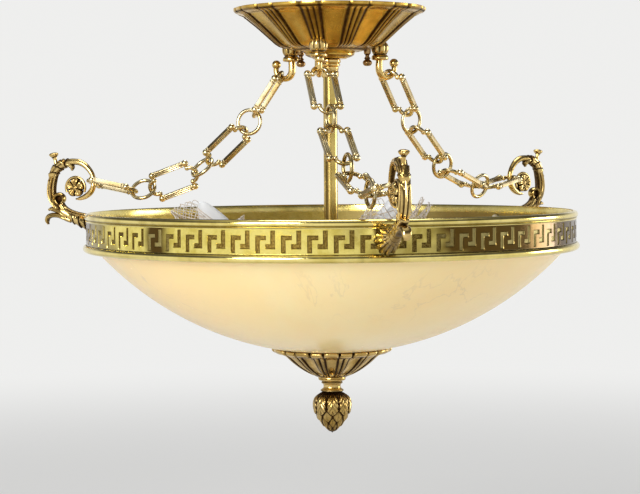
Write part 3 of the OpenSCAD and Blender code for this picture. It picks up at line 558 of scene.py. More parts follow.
# rim paints a dark reflection along one side of the hook's wire.
wire = sweep(spline(hook_line, 60), [3.0, 3.2, 3.4, 3.4, 2.8, 2.5, 2.5, 2.5], None, 22, rim=0.6)
hook_end = hook_line[-1]
ball = globe((hook_end[0] + 0.6, 0, hook_end[1] + 1.2), HOOK_BALL_R)
hook = shifted([bell, *moved([wire, ball], turn("z", HOOK_TWIST))], HOOK_X, 0, 0)
for i in SIDES:
    piece(f"bell_hook_{i}", "fixture", cast,
          moved(hook, side_turn(i, CANOPY_TURN)), [f"chain_hook_{i}"])

knob = [(0.4, -34.6), (3.0, -34.6), (3.1, -40.4), (2.0, -41.9), (1.9, -43.8), (3.0, -44.9),
        (2.2, -46.1), (3.4, -47.2), (4.2, -48.4), (4.2, -49.8), (3.4, -51.2), (2.2, -51.9),
        (0.5, -52.2)]
turned_knob = shifted([lathe(spline(knob, 60), 40, ringed((0.42, 0.04), (0.6, 0.03)))],
                      KNOB_X, 0, 0)
piece("turned_knobs", "fixture", aged,
      [s for i in SIDES for s in moved(turned_knob, side_turn(i, CANOPY_TURN))], ["hook_knobs"])

# ------------------------ chains
LINK_PITCH, LINK_W, HOOP_R, HOOP_WIRE, RING_R, RING_WIRE = 48.4, 24, 7, 1.9, 11.25, 1.75
CHAIN_GAP, PULL_DEG = 0.5, 50
BAR_W, BAR_THICK, BALL_R, CORNER_R = 5.4, 4.2, 3.3, 2.4
HOOP_BITE = HOOP_WIRE + RING_WIRE + CHAIN_GAP
# How far each link and ring is rolled about its own length, in degrees, chain by chain.
LINK_ROLL = [[0, 1, -2, 3], [0, 1, -1, 2], [0, 40, 72, 14]]
RING_ROLL = [[0, 0, 0], [8, 14, 20], [10, 58, 43]]
# The chain starts where its first link lies in the hook's bend and ends on the arm's curl.
hook_angle = np.radians(CANOPY_TURN + HOOK_TWIST)
pull = HOOK_BEND - HOOK_WIRE - HOOP_WIRE - CHAIN_GAP
hang = HOOK_BEND + pull * np.cos(np.radians(PULL_DEG))
shank = np.radians(CANOPY_TURN)
chain_top = np.array([HOOK_X * np.cos(shank) + hang * np.cos(hook_angle),
                      HOOK_X * np.sin(shank) + hang * np.sin(hook_angle),
                      -HOOK_DROP - pull * np.sin(np.radians(PULL_DEG))])
CURL_X, CURL_Z, CURL_WIRE = 238.5, -156.5, 2.9
chain_foot = np.array([CURL_X + CURL_WIRE + HOOP_WIRE + CHAIN_GAP, 0, CURL_Z])
reach = chain_foot - chain_top
chain_run, chain_fall = np.hypot(reach[0], reach[1]), -reach[2]
chain_heading = np.degrees(np.arctan2(reach[1], reach[0]))
# It hangs as a polygon whose sides are its links and rings in turn.
end_l, middle_l = LINK_PITCH - HOOP_BITE, LINK_PITCH - 2 * HOOP_BITE
side_l = np.array([end_l, 2 * RING_R] + [middle_l, 2 * RING_R] * 2 + [end_l])


def hanging(middle, change):
    """Angles, run and fall of the hanging polygon whose slopes fall by equal steps."""
    slope = np.arctan(middle + (3 - np.arange(7)) * change)
    return slope, side_l @ np.cos(slope), side_l @ np.sin(slope)


def halve(low, high, too_low):
    """The place in an interval where too_low turns from true to false."""
    for _ in range(48):
        mid = (low + high) / 2
        low, high = (mid, high) if too_low(mid) else (low, mid)
    return (low + high) / 2


def middle_for(change):
    """The middle slope at which fall and run have the right ratio."""
    return halve(-1, 3, lambda m: hanging(m, change)[2] * chain_run
                 <= hanging(m, change)[1] * chain_fall)


slope_change = halve(0, 1, lambda c: hanging(middle_for(c), c)[1] > chain_run)
slopes = hanging(middle_for(slope_change), slope_change)[0]
joints = np.concatenate([[[0, 0]], np.cumsum(
    side_l[:, None] * np.stack([np.cos(slopes), -np.sin(slopes)], -1), axis=0)])


def in_chain(chain, side, along_mm, roll):
    """The matrix and shift that put a part into a chain, at a distance along one of the polygon's
    sides and rolled about it."""
    whole = side_turn(chain)
    local = turn("y", np.degrees(slopes[side]))
    middle = np.array([joints[side][0], 0, joints[side][1]]) + local @ (along_mm, 0, 0)
    frame_turn = whole @ turn("z", chain_heading)
    return frame_turn @ local @ turn("x", roll), frame_turn @ middle + whole @ chain_top


def reeded_bar(length, width, thick):
    """A straight bar along X, three soft reeds on each face and round edges painted dark as a dark
    reflection.
    """
    t = np.linspace(0, 1, 37)[:-1]
    y = (t - 0.5) * width * 0.94
    reed = 0.5 - 0.5 * np.cos(3 * TAU * t)
    z = thick / 2 - 0.5 + 0.5 * reed ** 0.7
    ys, zs = np.concatenate([y, -y]), np.concatenate([z, -z])
    # Dark in the reeds' grooves, and painted dark reflection along the round edges.
    dark = np.maximum(0.7 * (1 - reed) ** 4, 0.6 * smooth(np.abs(t - 0.5), 0.44, 0.49))
    x = np.array([-length / 2, -length / 2 + 0.6, length / 2 - 0.6, length / 2])[:, None]
    size = np.array([0.8, 1, 1, 0.8])[:, None]
    return shell(np.stack([x + 0 * ys, size * ys, size * zs], -1),
                 np.concatenate([dark, dark])[None])


def chain_link():
    """One link, along X: two reeded bars with a ball and a collar at each end, and narrow hoops on
    short stubs between the balls."""
    ends, stub_l = LINK_PITCH / 2 - HOOP_R, LINK_W / 2 - HOOP_R
    stub = lathe([(1.9, 0), (1.7, 1.2), (1.75, stub_l - 1), (2.3, stub_l)], 16)
    half = hoop(HOOP_R, HOOP_WIRE, -90, 90, 24)
    verts, faces, shade = hoop(2.0, 1.0, count=24, section=10)
    # The collar keeps the hoop's painted dark reflection, weaker, over a slight overall darkening.
    collar = (verts, faces, 0.6 * shade + 0.2)
    parts = []
    for s in (-1, 1):
        parts += shifted([reeded_bar(2 * ends - 3, BAR_W, BAR_THICK)], 0, s * LINK_W / 2, 0)
        parts += moved([half], np.eye(3) if s > 0 else turn("z", 180), (s * ends, 0, 0))
        for e in (-1, 1):
            parts.append(globe((e * ends, s * LINK_W / 2, 0), BALL_R))
            parts += moved([collar], turn("y", 90), (e * (ends - 3.7), s * LINK_W / 2, 0))
            parts += moved([stub], turn("x", -90 * s), (e * ends, s * HOOP_R, 0))
            parts.append(globe((e * ends, s * HOOP_R, 0), CORNER_R, count=16))
    return parts


link, ring = chain_link(), hoop(RING_R, RING_WIRE, count=64, section=14)
for c in SIDES:
    for k, letter in enumerate("abcd"):
        place = in_chain(c, 2 * k, LINK_PITCH / 2 - (HOOP_BITE if k else 0), LINK_ROLL[c - 1][k])
        piece(f"reeded_link_{c}{letter}", f"chain_{c}", pale,
              moved(link, *place), [f"chain_{c}_link_{letter}"])
    for k, roll in enumerate(RING_ROLL[c - 1], 1):
        place = in_chain(c, 2 * k - 1, RING_R, 90 + roll)
        piece(f"round_ring_{c}{k}", f"chain_{c}_ring_{k}_body", pale,
              moved([ring], *place), [f"chain_{c}_ring_{k}"])

# ------------------------ band
BAND_R, BAND_IN, FIELD_TOP, FIELD_LOW = 222.0, 219.0, -191.5, -212.0
# The key pattern repeats in cells of 270 x 285 units. A recess is x from, x to, y from and y to.
KEY_REPEATS, KEY_CELL, KEY_FIELD, KEY_SLOPE = 66, 270, 285, 5
FACE_IN, RECESS_DEEP = 0.15, 0.95
RECESSES = ((0, 45, 75, 265), (0, 110, 75, 120), (160, 205, 20, 220), (105, 205, 170, 220))


def key_band():
    """The patterned face: a running key sunk into a cylinder. Each line of the pattern is doubled,
    so that the sides of the recesses slope a little."""
    half = KEY_SLOPE / 2
    across = np.array([0, 45, 105, 110, 160, 205], float)
    x = np.sort(np.concatenate([across - half, across + half, [22, 75, 135, 182, 238]]))
    up = np.array([20, 75, 120, 170, 220, 265], float)
    y = np.sort(np.concatenate([up - KEY_SLOPE, up + KEY_SLOPE, [2, 283]]))
    gx, gy = np.meshgrid(x, y)
    sunk = np.zeros_like(gx)
    for x0, x1, y0, y1 in RECESSES:
        for shift in (0, KEY_CELL):
            inside = ((gx > x0 + shift) & (gx < x1 + shift) & (gy > y0) & (gy < y1))
            sunk = np.maximum(sunk, inside)
    angle = (np.arange(KEY_REPEATS)[:, None] + x[None] / KEY_CELL).reshape(-1) / KEY_REPEATS * TAU
    sunk = np.tile(sunk, (1, KEY_REPEATS))
    z = FIELD_TOP + (FIELD_LOW - FIELD_TOP) * y / KEY_FIELD
    z = np.concatenate([[FIELD_TOP], z, [FIELD_LOW]])
    sunk = np.concatenate([sunk[:1] * 0, sunk, sunk[:1] * 0])
    r = BAND_R - FACE_IN - RECESS_DEEP * sunk
    inner = np.full((2, sunk.shape[1]), BAND_IN)
    r = np.concatenate([r, inner])
    z = np.concatenate([z, [FIELD_LOW, FIELD_TOP]])[:, None]
    rim = np.zeros_like(sunk)
    rim[[0, -1]] = 1.0
    dark = np.concatenate([np.maximum(sunk, rim), inner * 0 + 0.55])
    points = np.stack([r * np.sin(angle), -r * np.cos(angle), z + 0 * r], -1)
    return shell(points, dark, ring=True)


piece("greek_key_band", "fixture", keyed, [key_band()], ["key_band"], sharp=30)
top_roll = [(219, -191.5), (219, -185.0), (219.4, -184.3), (220.2, -184.1), (221.2, -184.5),
            (222.4, -185.0), (223.2, -186.2), (223.4, -187.4), (223.2, -188.6), (222.4, -189.6),
            (221.9, -190.0), (222.3, -190.4), (222.5, -190.9), (222.2, -191.5)]
piece("top_roll_moulding", "fixture", polished, [lathe(
    top_roll, 360, lambda a, s: (0, 0, line_at(s, 0.86, 0.03) + 0.4 * (1 - smooth(s, 0.02, 0.2))),
    ring=True)], ["top_moulding"])
bottom_roll = [(216.6, -218.55), (217.9, -212), (221.9, -212), (222.0, -212.2), (222.4, -212.4),
               (223.4, -212.7), (224.4, -213.6), (224.85, -214.9), (224.9, -215.9), (224.6, -217.1),
               (223.6, -218.2), (222.3, -218.8), (221.4, -219.0), (219.0, -218.7)]
piece("bottom_roll_moulding", "fixture", polished,
      [lathe(bottom_roll, 360, ringed((0.455, 0.02)), ring=True)], ["bottom_moulding"])

# ------------------------ scroll arms
SCROLL_X, SCROLL_Z, ROSETTE_R, EYE_RING_R = 257.6, -162.6, 9.2, 10.0


def reeds(number, deep, start, stop):
    """Section relief: rounded reeds that run along the bar between two shares of its length."""
    def relief(angle, share):
        wave = np.abs(np.cos(number * angle / 2))
        here = between(share, start, start + 0.06, stop - 0.06, stop)
        return 1 + deep * (wave - 0.7) * here, np.clip((0.7 - wave) * 2.2, 0, 1) * here
    return relief


def folds(number, slant, deep, stop):
    """Section relief: leaves that lap over each other along the bar. Each swells and then drops
    at a slanting edge, with a dark line along it."""
    def relief(angle, share):
        phase = np.mod(share * number + slant * np.cos(angle), 1)
        here = between(share, 0.0, 0.03, stop - 0.03, stop)
        line = np.exp(-(np.minimum(phase, 1 - phase) / 0.09) ** 2)
        return 1 + deep * (phase ** 1.5 - 0.45) * here, np.clip(1.3 * line, 0, 1) * here
    return relief


def both(first, second):
    """Two section reliefs at once."""
    def relief(angle, share):
        (grow, dark), (more, darker) = first(angle, share), second(angle, share)
        return grow * more, np.maximum(dark, darker)
    return relief


def leaf(side):
    """Section relief of a leaf: a midrib groove on each face and painted shade on one side of the
    bar, +1 or -1."""
    def relief(angle, share):
        vein = np.exp(-(np.cos(angle) / 0.2) ** 2) * np.sin(np.pi * share)
        # Painted shade on one side of the leaf.
        shadow = smooth(side * np.cos(angle), 0.35, 0.8) * 0.75
        return 1 - 0.14 * vein, np.clip(shadow + 0.55 * vein, 0, 1)
    return relief


def rosette():
    """A five-petalled flower on both faces of the scroll's eye: a disc whose rim and height swell
    at each petal, hollowed along each petal's middle, round a bead."""
    ring_r = np.linspace(0.06, 1, 18)
    front = np.concatenate([ring_r, ring_r[::-1]])[:, None]
    face = np.concatenate([np.ones(18), -np.ones(18)])[:, None]
    angle = np.linspace(0, TAU, 150, endpoint=False)[None]
    petal = np.abs(np.cos(2.5 * (angle - np.radians(90)) * face))
    rim = ROSETTE_R * (0.78 + 0.22 * petal ** 0.5)
    bead = np.exp(-(front / 0.18) ** 2)
    cup = np.exp(-((front - 0.62) / 0.26) ** 2) * smooth(petal, 0.75, 1)
    height = 1.5 + 2.3 * smooth(petal, 0.0, 0.45) * np.sin(
        np.pi * np.clip(front, 0, 1) ** 1.5 * 0.86) - 0.9 * cup + 1.7 * bead
    height = height - 0.9 * smooth(front, 0.9, 1.0)
    dark = np.clip(1.3 * (1 - smooth(petal, 0.12, 0.4)) * smooth(front, 0.2, 0.4)
                   + np.exp(-((front - 0.28) / 0.06) ** 2) * 0.8 + smooth(front, 0.93, 1)
                   + 0.35 * cup, 0, 1)
    points = np.stack([SCROLL_X + front * rim * np.cos(angle), -face * height + 0 * angle,
                       SCROLL_Z + front * rim * np.sin(angle)], -1)
    return shell(points, dark)


def painted_shade_ball(centre, radius, stretch):
    """Painted shade: a dark ball in the hollow inside a curled leaf."""
    verts, faces, shade = globe(centre, radius, stretch)
    return verts, faces, shade + 1


def arm_foot():
    """The leafy foot: lapping folds that open into a broad fan of reeds against the band."""
    path = spline([(266.0, -188.8), (261.0, -191.0), (255.6, -193.6), (249.5, -196.2),
                   (242, -198.6), (233, -200.6), (224.2, -201.6)], 110)

    def fan(angle, share):
        wave = np.abs(np.cos(6 * angle))
        here = smooth(share, 0.38, 0.6)
        return 1 + 0.24 * (wave - 0.6) * here, np.clip((0.55 - wave) * 2.4, 0, 1) * here
    # The last number paints a dark reflection along one side of the foot.
    return sweep(path, [4.5, 4.8, 5.0, 5.2, 6.2, 8.2, 10.4], [4.3, 4.5, 4.8, 5.6, 7.0, 8.6, 9.6],
                 84, both(folds(6, -0.45, 0.3, 0.66), fan), 0.5)


# The arm's spine, from the foot up round the C and in along the curl, and how thick it is in the
# arm's plane and across it along the way.
SPINE = [(255.4, -193.6), (260.2, -191.3), (266.3, -188.4), (271.8, -184.7), (277.5, -179.8),
         (281.4, -174.3), (283.0, -168.2), (282.9, -162.2), (281.9, -156.7), (280.3, -151.2),
         (277.9, -146.5), (273.9, -142.6), (269.3, -140.0), (263.5, -138.3), (258.0, -137.9),
         (252.6, -138.7), (247.1, -141.5), (242.9, -145.6), (240.0, -150.0), (238.6, -154.4),
         (238.5, -158.8), (239.6, -163.7), (243.1, -168.4), (248.5, -171.7), (253.6, -173.2),
         (257.4, -173.6)]
SPINE_THICK = [4.9, 4.7, 4.5, 4.2, 4.0, 3.9, 4.1, 4.3, 4.3, 4.2, 4.0, 3.9, 3.7, 3.5, 3.2, 3.0, 2.9,
               2.7, 2.5, 2.3, 2.2, 2.5, 2.7, 2.6, 2.0, 0.8]
SPINE_WIDE = [4.4, 4.3, 4.2, 4.2, 4.4, 4.7, 4.8, 4.8, 4.7, 4.5, 4.2, 4.0, 3.9, 3.8, 3.7, 3.6, 3.5,
              3.2, 2.8, 2.6, 2.6, 3.0, 3.2, 3.0, 2.2, 0.9]
# The sheath lies over the spine's shoulder, and the bud stands on its neck above it.
SHEATH = [(282.2, -155.0), (281.0, -150.6), (278.4, -146.0), (274.4, -142.3), (270.6, -140.2),
          (268.3, -139.3)]
BUD_NECK = [(277.4, -142.0), (278.6, -137.2), (279.6, -133.6)]
BUD = [(1.7, -3.4), (2.2, -2.2), (3.4, -0.9), (4.4, 0.5), (4.4, 1.5), (3.2, 2.3), (1.6, 2.7),
       (0.3, 2.8)]
# The leaves: a line, how thick it is in the arm's plane and across it, and the side painted
# with shade.
LEAVES = (
    # two tips that stand off the shoulder
    ([(273.3, -143.4), (277.6, -145.2), (281.9, -147.6), (285.5, -150.6)],
     [1.3, 1.8, 1.7, 0.7], [4.6, 5.2, 4.6, 1.6], -1),
    ([(278.6, -149.4), (282.0, -152.8), (284.6, -156.0), (286.2, -159.6)],
     [1.2, 1.6, 1.4, 0.6], [4.4, 5.0, 4.4, 1.6], -1),
    # one that hangs from the sheath's mouth
    ([(267.4, -138.9), (262.8, -140.6), (260.9, -143.4), (261.2, -146.4)],
     [3.2, 3.1, 2.7, 1.0], [3.9, 4.2, 3.6, 1.4], -1),
    # the curled one inside the C
    ([(277.0, -182.4), (279.6, -176.8), (279.2, -172.2), (276.9, -169.5), (273.6, -169.1),
      (270.6, -171.2), (270.0, -174.5), (272.0, -177.3), (275.1, -178.2)],
     [2.3, 2.4, 2.1, 2.0, 1.9, 1.7, 1.5, 1.3, 0.8],
     [4.8, 5.2, 5.2, 5.0, 4.8, 4.4, 4.0, 3.2, 2.0], 1),
    # two that run outwards from the foot, the lower with a drooping tip
    ([(266.5, -191.2), (270.5, -188.0), (275.0, -185.4), (279.5, -183.9), (283.4, -183.2),
      (286.2, -184.0)], [2.6, 2.6, 2.5, 2.5, 2.3, 1.2], [3.8, 4.3, 4.5, 4.5, 4.1, 2.2], -1),
    ([(262.5, -194.0), (266.5, -192.6), (271.5, -190.6), (277.3, -189.2), (283.4, -189.3),
      (287.2, -191.4), (288.2, -194.8), (287.0, -198.0)],
     [2.6, 2.7, 2.6, 2.4, 2.4, 2.4, 2.0, 0.9], [4.0, 4.4, 4.6, 4.7, 4.6, 4.4, 3.8, 2.0], -1),
    # two that lie over the foot towards the band
    ([(272.0, -179.0), (268.0, -184.6), (261.4, -187.7), (254.1, -189.2), (246.2, -190.6),
      (239.6, -192.6)], [2.4, 2.2, 1.8, 1.6, 1.4, 0.8], [4.2, 4.0, 3.8, 3.6, 3.2, 2.2], -1),
    ([(271.6, -176.8), (268.6, -181.0), (263.5, -184.2), (256.5, -186.5), (247.5, -188.3),
      (241.5, -189.9)], [1.0, 1.1, 1.1, 1.0, 1.0, 0.6], [3.0, 3.0, 2.8, 2.8, 2.6, 1.6], -1))


def bud_relief(angle, share):
    """Eight lobes round the bud, which fade at its neck and its crown, and a dark line below."""
    lobe = np.abs(np.cos(4 * angle)) - 0.7
    return lobe * 0.6 * between(share, 0.1, 0.4, 0.6, 0.9), 0, line_at(share, 0.14, 0.08)


def scroll_arm():
    """The arm in its own plane: the C-shaped spine and curl, the sheath with its mouth, leaves, the
    bud on its neck, foot, rosette and the ring round the scroll's eye."""
    stalk = both(reeds(8, 0.34, 0.1, 0.46), folds(7, -0.35, 0.14, 0.2))
    # The last number of each sweep paints a dark reflection along one side of the bar.
    parts = [sweep(spline(SPINE, 230), SPINE_THICK, SPINE_WIDE, 40, stalk, 0.8)]
    parts.append(sweep(spline(SHEATH, 50), [3.6, 4.6, 4.9, 4.9, 4.8, 4.9],
                       [3.9, 4.8, 5.0, 4.9, 4.7, 4.8], 32,
                       both(folds(3, -0.4, 0.2, 0.95), reeds(6, 0.14, 0.3, 0.95)), 0.6))
    # A dark ring at the sheath's mouth: painted shade.
    verts, faces, shade = hoop(3.7, 1.0, count=36, section=10)
    parts += moved([(verts, faces, shade + 1)], turn("y", 68), (266.9, 0, -138.9))
    for line, thick, wide, side in LEAVES:
        parts.append(sweep(spline(line, 12 * len(line)), thick, wide, 24, leaf(side)))
    # Painted shade: dark balls in the hollows of the curled leaves.
    parts.append(painted_shade_ball((274.6, 0, -173.6), 3.6, (1, 0.62, 1)))
    parts.append(painted_shade_ball((272.4, 0, -181.8), 3.4, (0.8, 1.0, 1.3)))
    parts.append(sweep(spline(BUD_NECK, 16), [2.9, 1.9, 1.7, 2.0], None, 20))
    parts += moved([lathe(spline(BUD, 26), 40, bud_relief)], turn("y", 10), (280.2, 0, -131.8))
    eye_ring = hoop(EYE_RING_R, 1.25, -25, 205, 60, 12)
    return parts + [arm_foot(), rosette()] + moved([eye_ring], turn("x", 90),
                                                   (SCROLL_X, 0, SCROLL_Z))


arm = scroll_arm()
for i in SIDES:
    piece(f"leafy_scroll_arm_{i}", "fixture", cast,
          moved(arm, side_turn(i)), [f"scroll_arm_{i}"])

# ------------------------ bowl
BOWL_R, BOWL_MID, RIM_Z, BOWL_WALL, BOWL_HOLE = 284.112, -29.588, -212.5, 7, 7
SKIN_SHORT, LINING_SHORT, SKIN_SOFT, LINING_SOFT = 0.003, 0.004, 1.0, 1.2


def bowl_profile():
    """A slice of two spheres round one centre, from the rim to the hole. The rim is softened: skin
    and lining stop short of it by a small angle, and its flat is narrower than the wall."""
    outer = np.linspace(np.arccos((BOWL_MID - RIM_Z) / BOWL_R) - SKIN_SHORT,
                        np.arcsin(BOWL_HOLE / BOWL_R), 70)
    inner_r = BOWL_R - BOWL_WALL
    inner = np.linspace(np.arcsin(BOWL_HOLE / inner_r),
                        np.arccos((BOWL_MID - RIM_Z) / inner_r) - LINING_SHORT, 60)
    skin = np.stack([BOWL_R * np.sin(outer), BOWL_MID - BOWL_R * np.cos(outer)], -1)
    lining = np.stack([inner_r * np.sin(inner), BOWL_MID - inner_r * np.cos(inner)], -1)
    rim = np.array([(lining[-1, 0] + LINING_SOFT, RIM_Z), (skin[0, 0] - SKIN_SOFT, RIM_Z)])
    return np.concatenate([skin, lining, rim])


piece("veined_glass_bowl", "fixture", cream,
      [lathe(bowl_profile(), 360, ring=True)], ["glass_bowl"])

# ------------------------ bottom fittings
CUP_Z, CUP_LOW, CUP_TURN = -308.326, -336.826, -27.0
cup_lip = [(52.8, -0.5), (54.6, -0.4), (55.2, -1.6), (54.6, -3.2), (52.2, -4.7), (48.6, -5.5),
           (45.8, -6.0)]
cup_side = [(44.2, -6.8), (41.4, -9.0), (38.6, -11.6), (34.8, -15.0), (30.4, -18.4), (25.6, -21.6),
            (20.6, -24.4), (16.6, -26.2), (13.9, -27.4)]
cup_foot = [(12.8, CUP_Z - 27.9), (12.9, CUP_LOW), (4.4, CUP_LOW)]
cup_in = [(4.4, -26.8), (13, -25.8), (21, -21.8), (29, -16.6), (36, -10.4), (41.6, -5.0),
          (46.4, -3.2), (52.2, -1.2)]


def cup_relief(angle, share):
    """Petals and ribs as on the canopy, under a lip that is scalloped into lobes."""
    hollow, rib, dark, brink = flutes(angle, PETALS, CUP_TURN - 90, petal=0.27, ribs=2)
    lip = 1 - smooth(share, 0.075, 0.115)
    side = between(share, 0.085, 0.12, 0.385, 0.41)
    arch = smooth(share - 0.04 * (1 - hollow), 0.1, 0.145) * (1 - smooth(
        share + 0.04 * (1 - hollow), 0.37, 0.4))
    out = -2.0 * hollow * arch + 1.2 * (rib - 0.7) * side - 0.5 * dark * side
    out = out - (1.6 * (1 - hollow) ** 2 + 3.0 * brink) * lip
    brim, foot = line_at(share, 0.115, 0.013), line_at(share, 0.415, 0.012)
    return out, -0.6 * (1 - hollow) * lip, np.clip(
        1.2 * dark * side + 1.1 * brink * lip + brim + foot + 0.3 * (1 - hollow) * arch, 0, 1)


lip, side, lining = (np.array(p) + (0, CUP_Z) for p in (cup_lip, cup_side, cup_in))
cup = np.concatenate([spline(lip, 22), spline(side, 44), cup_foot, spline(lining, 20)])
piece("fluted_bottom_cup", "fixture", cast, [lathe(cup, 480, cup_relief, ring=True)],
      ["bottom_cup"])

NECK_Z, CONE_Z, CONE_H, SCALES = -336.926, -349.926, 38, 9
neck_side = [(4.06, 0.0), (12.0, -0.05), (12.5, -0.7), (12.4, -1.6), (11.4, -2.2), (9.6, -2.8),
             (9.2, -3.6), (9.8, -4.2), (9.6, -4.9), (8.4, -5.6), (7.9, -7.0), (7.9, -8.2),
             (8.4, -9.4), (9.6, -10.2), (10.5, -10.9), (10.6, -11.8), (9.6, -12.6), (8.0, -12.95),
             (4.06, -12.95)]
piece("turned_neck", "finial", cast, [lathe(
    np.array(neck_side) + (0, NECK_Z), 72, ringed((0.45, 0.02), (0.77, 0.02)), ring=True)],
    ["finial_neck"])


# The cone's half width along its height, and how low each row's edges and tips reach, as shares.
CONE_WIDTH = [(0, 9.6), (0.05, 13.2), (0.12, 16.2), (0.2, 17.7), (0.3, 18.0), (0.42, 17.3),
              (0.54, 15.8), (0.66, 13.4), (0.78, 10.0), (0.88, 6.6), (0.95, 3.7), (1, 0.6)]
CONE_ROWS = ((0.40, 0.13), (0.56, 0.14), (0.71, 0.13), (0.84, 0.12), (0.97, 0.3))


def pine_cone():
    """Nine long upright scales round the shoulders, and below them rows of pointed scales that
    overlap like tiles. The lower edge of a row is top + tip (1 - |2 phase|^1.4); a scale rises
    towards its lower edge, painted shadow darkens the next row just below that edge, and a dark
    gap runs between a scale and its neighbours. The cone's top, under the neck, is painted with
    shade too."""
    rows, cols = 170, 360
    t = np.linspace(0, 0.992, rows)[:, None]
    angle = np.linspace(0, TAU, cols, endpoint=False)[None]
    width = spline(CONE_WIDTH, 300)
    radius = np.interp(t, width[:, 0], width[:, 1])
    edge_top, lift, dark = np.zeros((1, 1)) - 0.2, np.zeros((rows, cols)), np.zeros((rows, cols))
    for k, (top, tip) in enumerate(CONE_ROWS):
        phase = np.mod(angle * SCALES / TAU + 0.5 * k, 1) - 0.5
        edge = top + tip * (1 - np.abs(2 * phase) ** 1.4)
        here = (t >= edge_top) & (t < edge)
        span = np.clip((t - edge_top) / np.maximum(edge - edge_top, 0.05), 0, 1)
        gap_mm = (0.5 - np.abs(phase)) * TAU * radius / SCALES
        rise = (0.3 + 0.7 * span) * (1 - 0.85 * np.exp(-(gap_mm / 1.1) ** 2))
        vein = np.exp(-(phase / 0.05) ** 2) * 0.18
        feather = 0.1 * np.cos(TAU * (span * 5 - np.abs(phase) * 5)) * (k == 0)
        lift = np.where(here, rise - vein + feather, lift)
        # Painted shadow: just below the row above, and at the cone's top under the neck.
        painted_shadow_below = np.exp(-((t - edge_top) * CONE_H / 1.5) ** 2) if k else np.exp(-(t / 0.1) ** 2)
        shade = np.maximum(np.exp(-(gap_mm / 1.25) ** 2), painted_shadow_below) * 1.4 + vein * 1.8 - feather * 4
        dark = np.where(here, shade, dark)
        edge_top = edge
    r = np.maximum(radius - 2.0 + 2.1 * lift, 0.3)
    points = np.stack([r * np.cos(angle), r * np.sin(angle), CONE_Z - CONE_H * t + 0 * angle], -1)
    return shell(points, np.clip(dark, 0, 1))


piece("pine_cone_finial", "finial", cast, [pine_cone()], ["pine_cone"])

# ------------------------ lamps
LAMP_TURN, LAMP_TILT, TIP_REACH, TIP_Z = 17.5, 32, 120, -175
BULB_L, BULB_R, BULB_WALL = 78, 17.5, 1


def lamp_place(lamp):
    """The matrix and shift that put a part, drawn down from a bulb's tip, into a lamp's place."""
    whole = side_turn(lamp, LAMP_TURN)
    return whole @ turn("y", LAMP_TILT), whole @ (TIP_REACH, 0, TIP_Z)


# The candle flame, with u from 0 at the cap to 1 at the tip: the radius is a sine of a power of u,
# raised to a power that falls towards the tip, which draws the tip out.
u = np.linspace(0, 0.992, 60)
flame = BULB_R * np.sin(np.pi * (0.07 + 0.93 * u) ** 0.72) ** (0.9 - 0.34 * u)
outside = np.stack([flame, -BULB_L * (1 - u)], -1)
inside = np.stack([np.maximum(flame - BULB_WALL, 0.25), -BULB_L * (1 - u * 0.985)], -1)[::-1]
bulb = lathe(np.concatenate([outside, inside]), 72, ring=True)

NET_LOW, NET_SHORT, NET_LONG = -56.0, 24.0, 63.0
NET_R, NET_FLARE, NET_WAYS, NET_TURN, NET_THREAD_R = 18.8, 1.40, 18, 160, 0.4


def net_sleeve():
    """Two layers of strands that wind opposite ways round a flared tube and cross in diamonds. The
    sleeve has slipped: it stands high on the outer side (+X) and is squeezed low on the inner one.
    A strand is a thin tube along r = flare(t), angle = start + turn t, z = low + t length, with t
    from 0 at its foot to 1 at its end."""
    t = np.linspace(0, 1, 90)
    b = np.linspace(0, TAU, 5, endpoint=False)[None, :, None]
    strands = []
    for way, lift in ((1, 0.0), (-1, 0.75)):
        for k in range(NET_WAYS):
            angle = TAU * k / NET_WAYS + way * np.radians(NET_TURN) * t
            length = NET_SHORT + (NET_LONG - NET_SHORT) * smooth(np.cos(angle), -0.4, 0.3)
            r = (NET_R + lift) * (1 + (NET_FLARE - 1) * t) + 0.35 * np.sin(9 * t + k)
            line = np.stack([r * np.cos(angle), r * np.sin(angle), NET_LOW + length * t], -1)
            heading = np.gradient(line, axis=0)
            heading /= np.linalg.norm(heading, axis=1, keepdims=True)
            outward = np.stack([np.cos(angle), np.sin(angle), 0 * t], -1)
            side = np.cross(heading, outward)
            side /= np.linalg.norm(side, axis=1, keepdims=True)
            up = np.cross(side, heading)
            strands.append(shell(line[:, None] + NET_THREAD_R * (
                np.cos(b) * side[:, None] + np.sin(b) * up[:, None])))
    return strands


net = net_sleeve()
for i in SIDES:
    spot = lamp_place(i)
    piece(f"frosted_bulb_{i}", f"bulb_{i}", frosted, moved([bulb], *spot),
          [f"bulb_glass_{i}"])
    piece(f"diamond_net_{i}", f"bulb_{i}", netting, moved(net, *spot),
          [f"net_sleeve_{i}"])

# ------------------------ nodes that stay as they are
KEPT = {"mounting_strap": steel, "threaded_nipple": inner_brass, "nipple_nut": steel,
        "hook_nuts": steel, "arm_screws": steel, "bowl_washer": rubber, "bowl_nut": inner_brass,
        "centre_rod": steel, "socket_hub": inner_brass, "socket_branches": inner_brass,
        "lamp_sockets": ceramic, "feed_wires": sleeving, **{f"bulb_cap_{i}": tin for i in SIDES}}
for node, material in KEPT.items():
    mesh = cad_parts[node].data
    mesh.materials.clear()
    mesh.materials.append(material)

# ------------------------ stage, light and camera
PALE, NIGHT = (0.86, 0.86, 0.85), (0.10, 0.10, 0.105)
FLOOR_Z, FLOOR_HALF = -0.62, 30
floor_mesh = bpy.data.meshes.new("studio_floor")
floor_mesh.from_pydata([(x * FLOOR_HALF, y * FLOOR_HALF, FLOOR_Z)
                        for x, y in ((-1, -1), (1, -1), (1, 1), (-1, 1))], [], [(0, 1, 2, 3)])
floor = add("studio_floor", floor_mesh)
